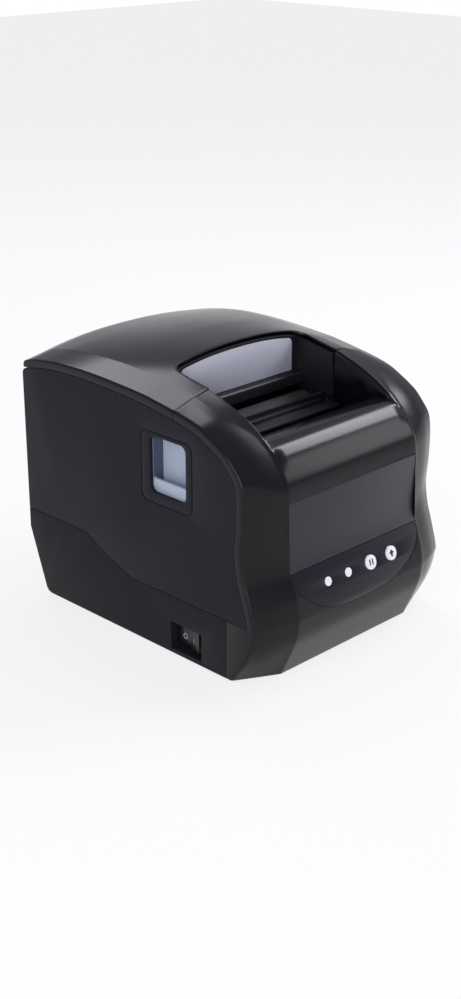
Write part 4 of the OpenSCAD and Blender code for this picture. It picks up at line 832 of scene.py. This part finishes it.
def looked_at(tree):
    """A socket that is 1 for camera, glossy and transmission rays."""
    path = tree.nodes.new("ShaderNodeLightPath")
    total = path.outputs["Is Camera Ray"]
    for kind in ("Is Glossy Ray", "Is Transmission Ray"):
        either = tree.nodes.new("ShaderNodeMath")
        either.operation = "MAXIMUM"
        tree.links.new(total, either.inputs[0])
        tree.links.new(path.outputs[kind], either.inputs[1])
        total = either.outputs[0]
    return total


def ramp(tree, value, low, high, from_value, to_value):
    """A soft step of a value from from_value to to_value."""
    step = tree.nodes.new("ShaderNodeMapRange")
    step.interpolation_type = "SMOOTHSTEP"
    for name, number in (("From Min", low), ("From Max", high), ("To Min", from_value),
                         ("To Max", to_value)):
        step.inputs[name].default_value = number
    tree.links.new(value, step.inputs["Value"])
    return step.outputs["Result"]


def floor_material():
    """Pale paper that keeps the shadow and looks like the white background."""
    shown, grey = 0.8, (0.8, 0.8, 0.8, 1)
    mat = bpy.data.materials.new("pale_floor")
    tree = new_tree(mat)
    out = tree.nodes.new("ShaderNodeOutputMaterial")
    mix = tree.nodes.new("ShaderNodeMixShader")
    share = tree.nodes.new("ShaderNodeMath")
    share.operation = "MULTIPLY"
    share.inputs[1].default_value = shown
    paper = tree.nodes.new("ShaderNodeBsdfDiffuse")
    paper.inputs["Color"].default_value = grey
    glow = tree.nodes.new("ShaderNodeEmission")
    tree.links.new(looked_at(tree), share.inputs[0])
    tree.links.new(share.outputs[0], mix.inputs["Fac"])
    tree.links.new(paper.outputs[0], mix.inputs[1])
    tree.links.new(glow.outputs[0], mix.inputs[2])
    tree.links.new(mix.outputs[0], out.inputs["Surface"])
    return mat


def room():
    """A white horizon with greyer air above it; plain light where neither is looked at."""
    white, air, light = (1, 1, 1, 1), (0.5, 0.5, 0.56, 1), (0.38, 0.38, 0.43, 1)
    low, high = 0.01, 0.15
    world = bpy.data.worlds.new("studio")
    bpy.context.scene.world = world
    tree = new_tree(world)
    out = tree.nodes.new("ShaderNodeOutputWorld")
    place = tree.nodes.new("ShaderNodeTexCoord")
    split = tree.nodes.new("ShaderNodeSeparateXYZ")
    tree.links.new(place.outputs["Generated"], split.inputs[0])
    tint = tree.nodes.new("ShaderNodeMix")
    tint.data_type = "RGBA"
    above, horizon = [s for s in tint.inputs if s.type == "RGBA" and s.enabled]
    above.default_value = air
    horizon.default_value = white
    tree.links.new(ramp(tree, split.outputs["Z"], low, high, 1, 0), tint.inputs["Factor"])
    backdrop = tree.nodes.new("ShaderNodeBackground")
    tree.links.new([s for s in tint.outputs if s.type == "RGBA" and s.enabled][0],
                   backdrop.inputs["Color"])
    around = tree.nodes.new("ShaderNodeBackground")
    around.inputs["Color"].default_value = light
    mix = tree.nodes.new("ShaderNodeMixShader")
    tree.links.new(looked_at(tree), mix.inputs["Fac"])
    tree.links.new(around.outputs[0], mix.inputs[1])
    tree.links.new(backdrop.outputs[0], mix.inputs[2])
    tree.links.new(mix.outputs[0], out.inputs["Surface"])


def studio():
    """The floor, the room and the four lamps."""
    reach = 3.0
    mesh = bpy.data.meshes.new("floor")
    mesh.from_pydata([(-reach, -reach, 0), (reach, -reach, 0), (reach, reach, 0),
                      (-reach, reach, 0)], [], [(0, 1, 2, 3)])
    mesh.materials.append(floor_material())
    floor = bpy.data.objects.new("floor", mesh)
    bpy.context.collection.objects.link(floor)
    floor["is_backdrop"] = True
    room()
    softbox("brow_light", (0.705, -0.2, 0.68), distance=1.25, size=(0.85, 0.34), power=10,
            roll=27, tint=(0.94, 0.94, 1))
    softbox("brow_low_light", (0.7, -0.62, 0.36), distance=1.25, size=(0.3, 0.3), power=1)
    softbox("lid_light", (0.231, 0.528, 0.8185), distance=1.3, size=(0.88, 0.4), power=5.4,
            roll=129, tint=(0.95, 0.94, 1))
    softbox("left_light", (-0.8, -0.5, 0.32), distance=0.8, size=(0.6, 0.6), power=3)


def softbox(name, direction, distance, size, power, roll=0, tint=(1, 1, 1)):
    """A lamp in a direction from the machine, facing it."""
    target = Vector((0, 0, 0.08))
    light = bpy.data.lights.new(name, "AREA")
    light.shape = "RECTANGLE"
    light.size, light.size_y = size
    light.energy = power
    light.color = tint
    obj = bpy.data.objects.new(name, light)
    obj.location = target + Vector(direction).normalized() * distance
    turn = (target - obj.location).to_track_quat("-Z", "Y")
    obj.rotation_euler = (turn @ Quaternion((0, 0, 1), math.radians(roll))).to_euler()
    bpy.context.collection.objects.link(obj)


def camera():
    """The camera at the viewing angle of the picture."""
    heading, pitch = math.radians(44.9466), math.radians(22.4921)
    sensor, focal = 36, 55.76
    place = (-0.5802, -0.5761, 0.4001)
    forward = Vector((math.sin(heading) * math.cos(pitch), math.cos(heading) * math.cos(pitch),
                      -math.sin(pitch)))
    lens = bpy.data.cameras.new("camera")
    lens.sensor_fit = "VERTICAL"
    lens.sensor_height = sensor
    lens.lens = focal
    obj = bpy.data.objects.new("camera", lens)
    obj.location = place
    obj.rotation_euler = forward.to_track_quat("-Z", "Y").to_euler()
    bpy.context.collection.objects.link(obj)
    bpy.context.scene.camera = obj


# ------------------------------------------------------------------ the scene

dress_cad_nodes()
lid_skin()
front_skin()
split_ribs()
mark_controls()
studio()
camera()
bpy.context.scene.view_settings.view_transform = "Standard"

seen_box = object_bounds()
{"cad": [list(v) for v in cad_box], "visual": [list(v) for v in seen_box]}
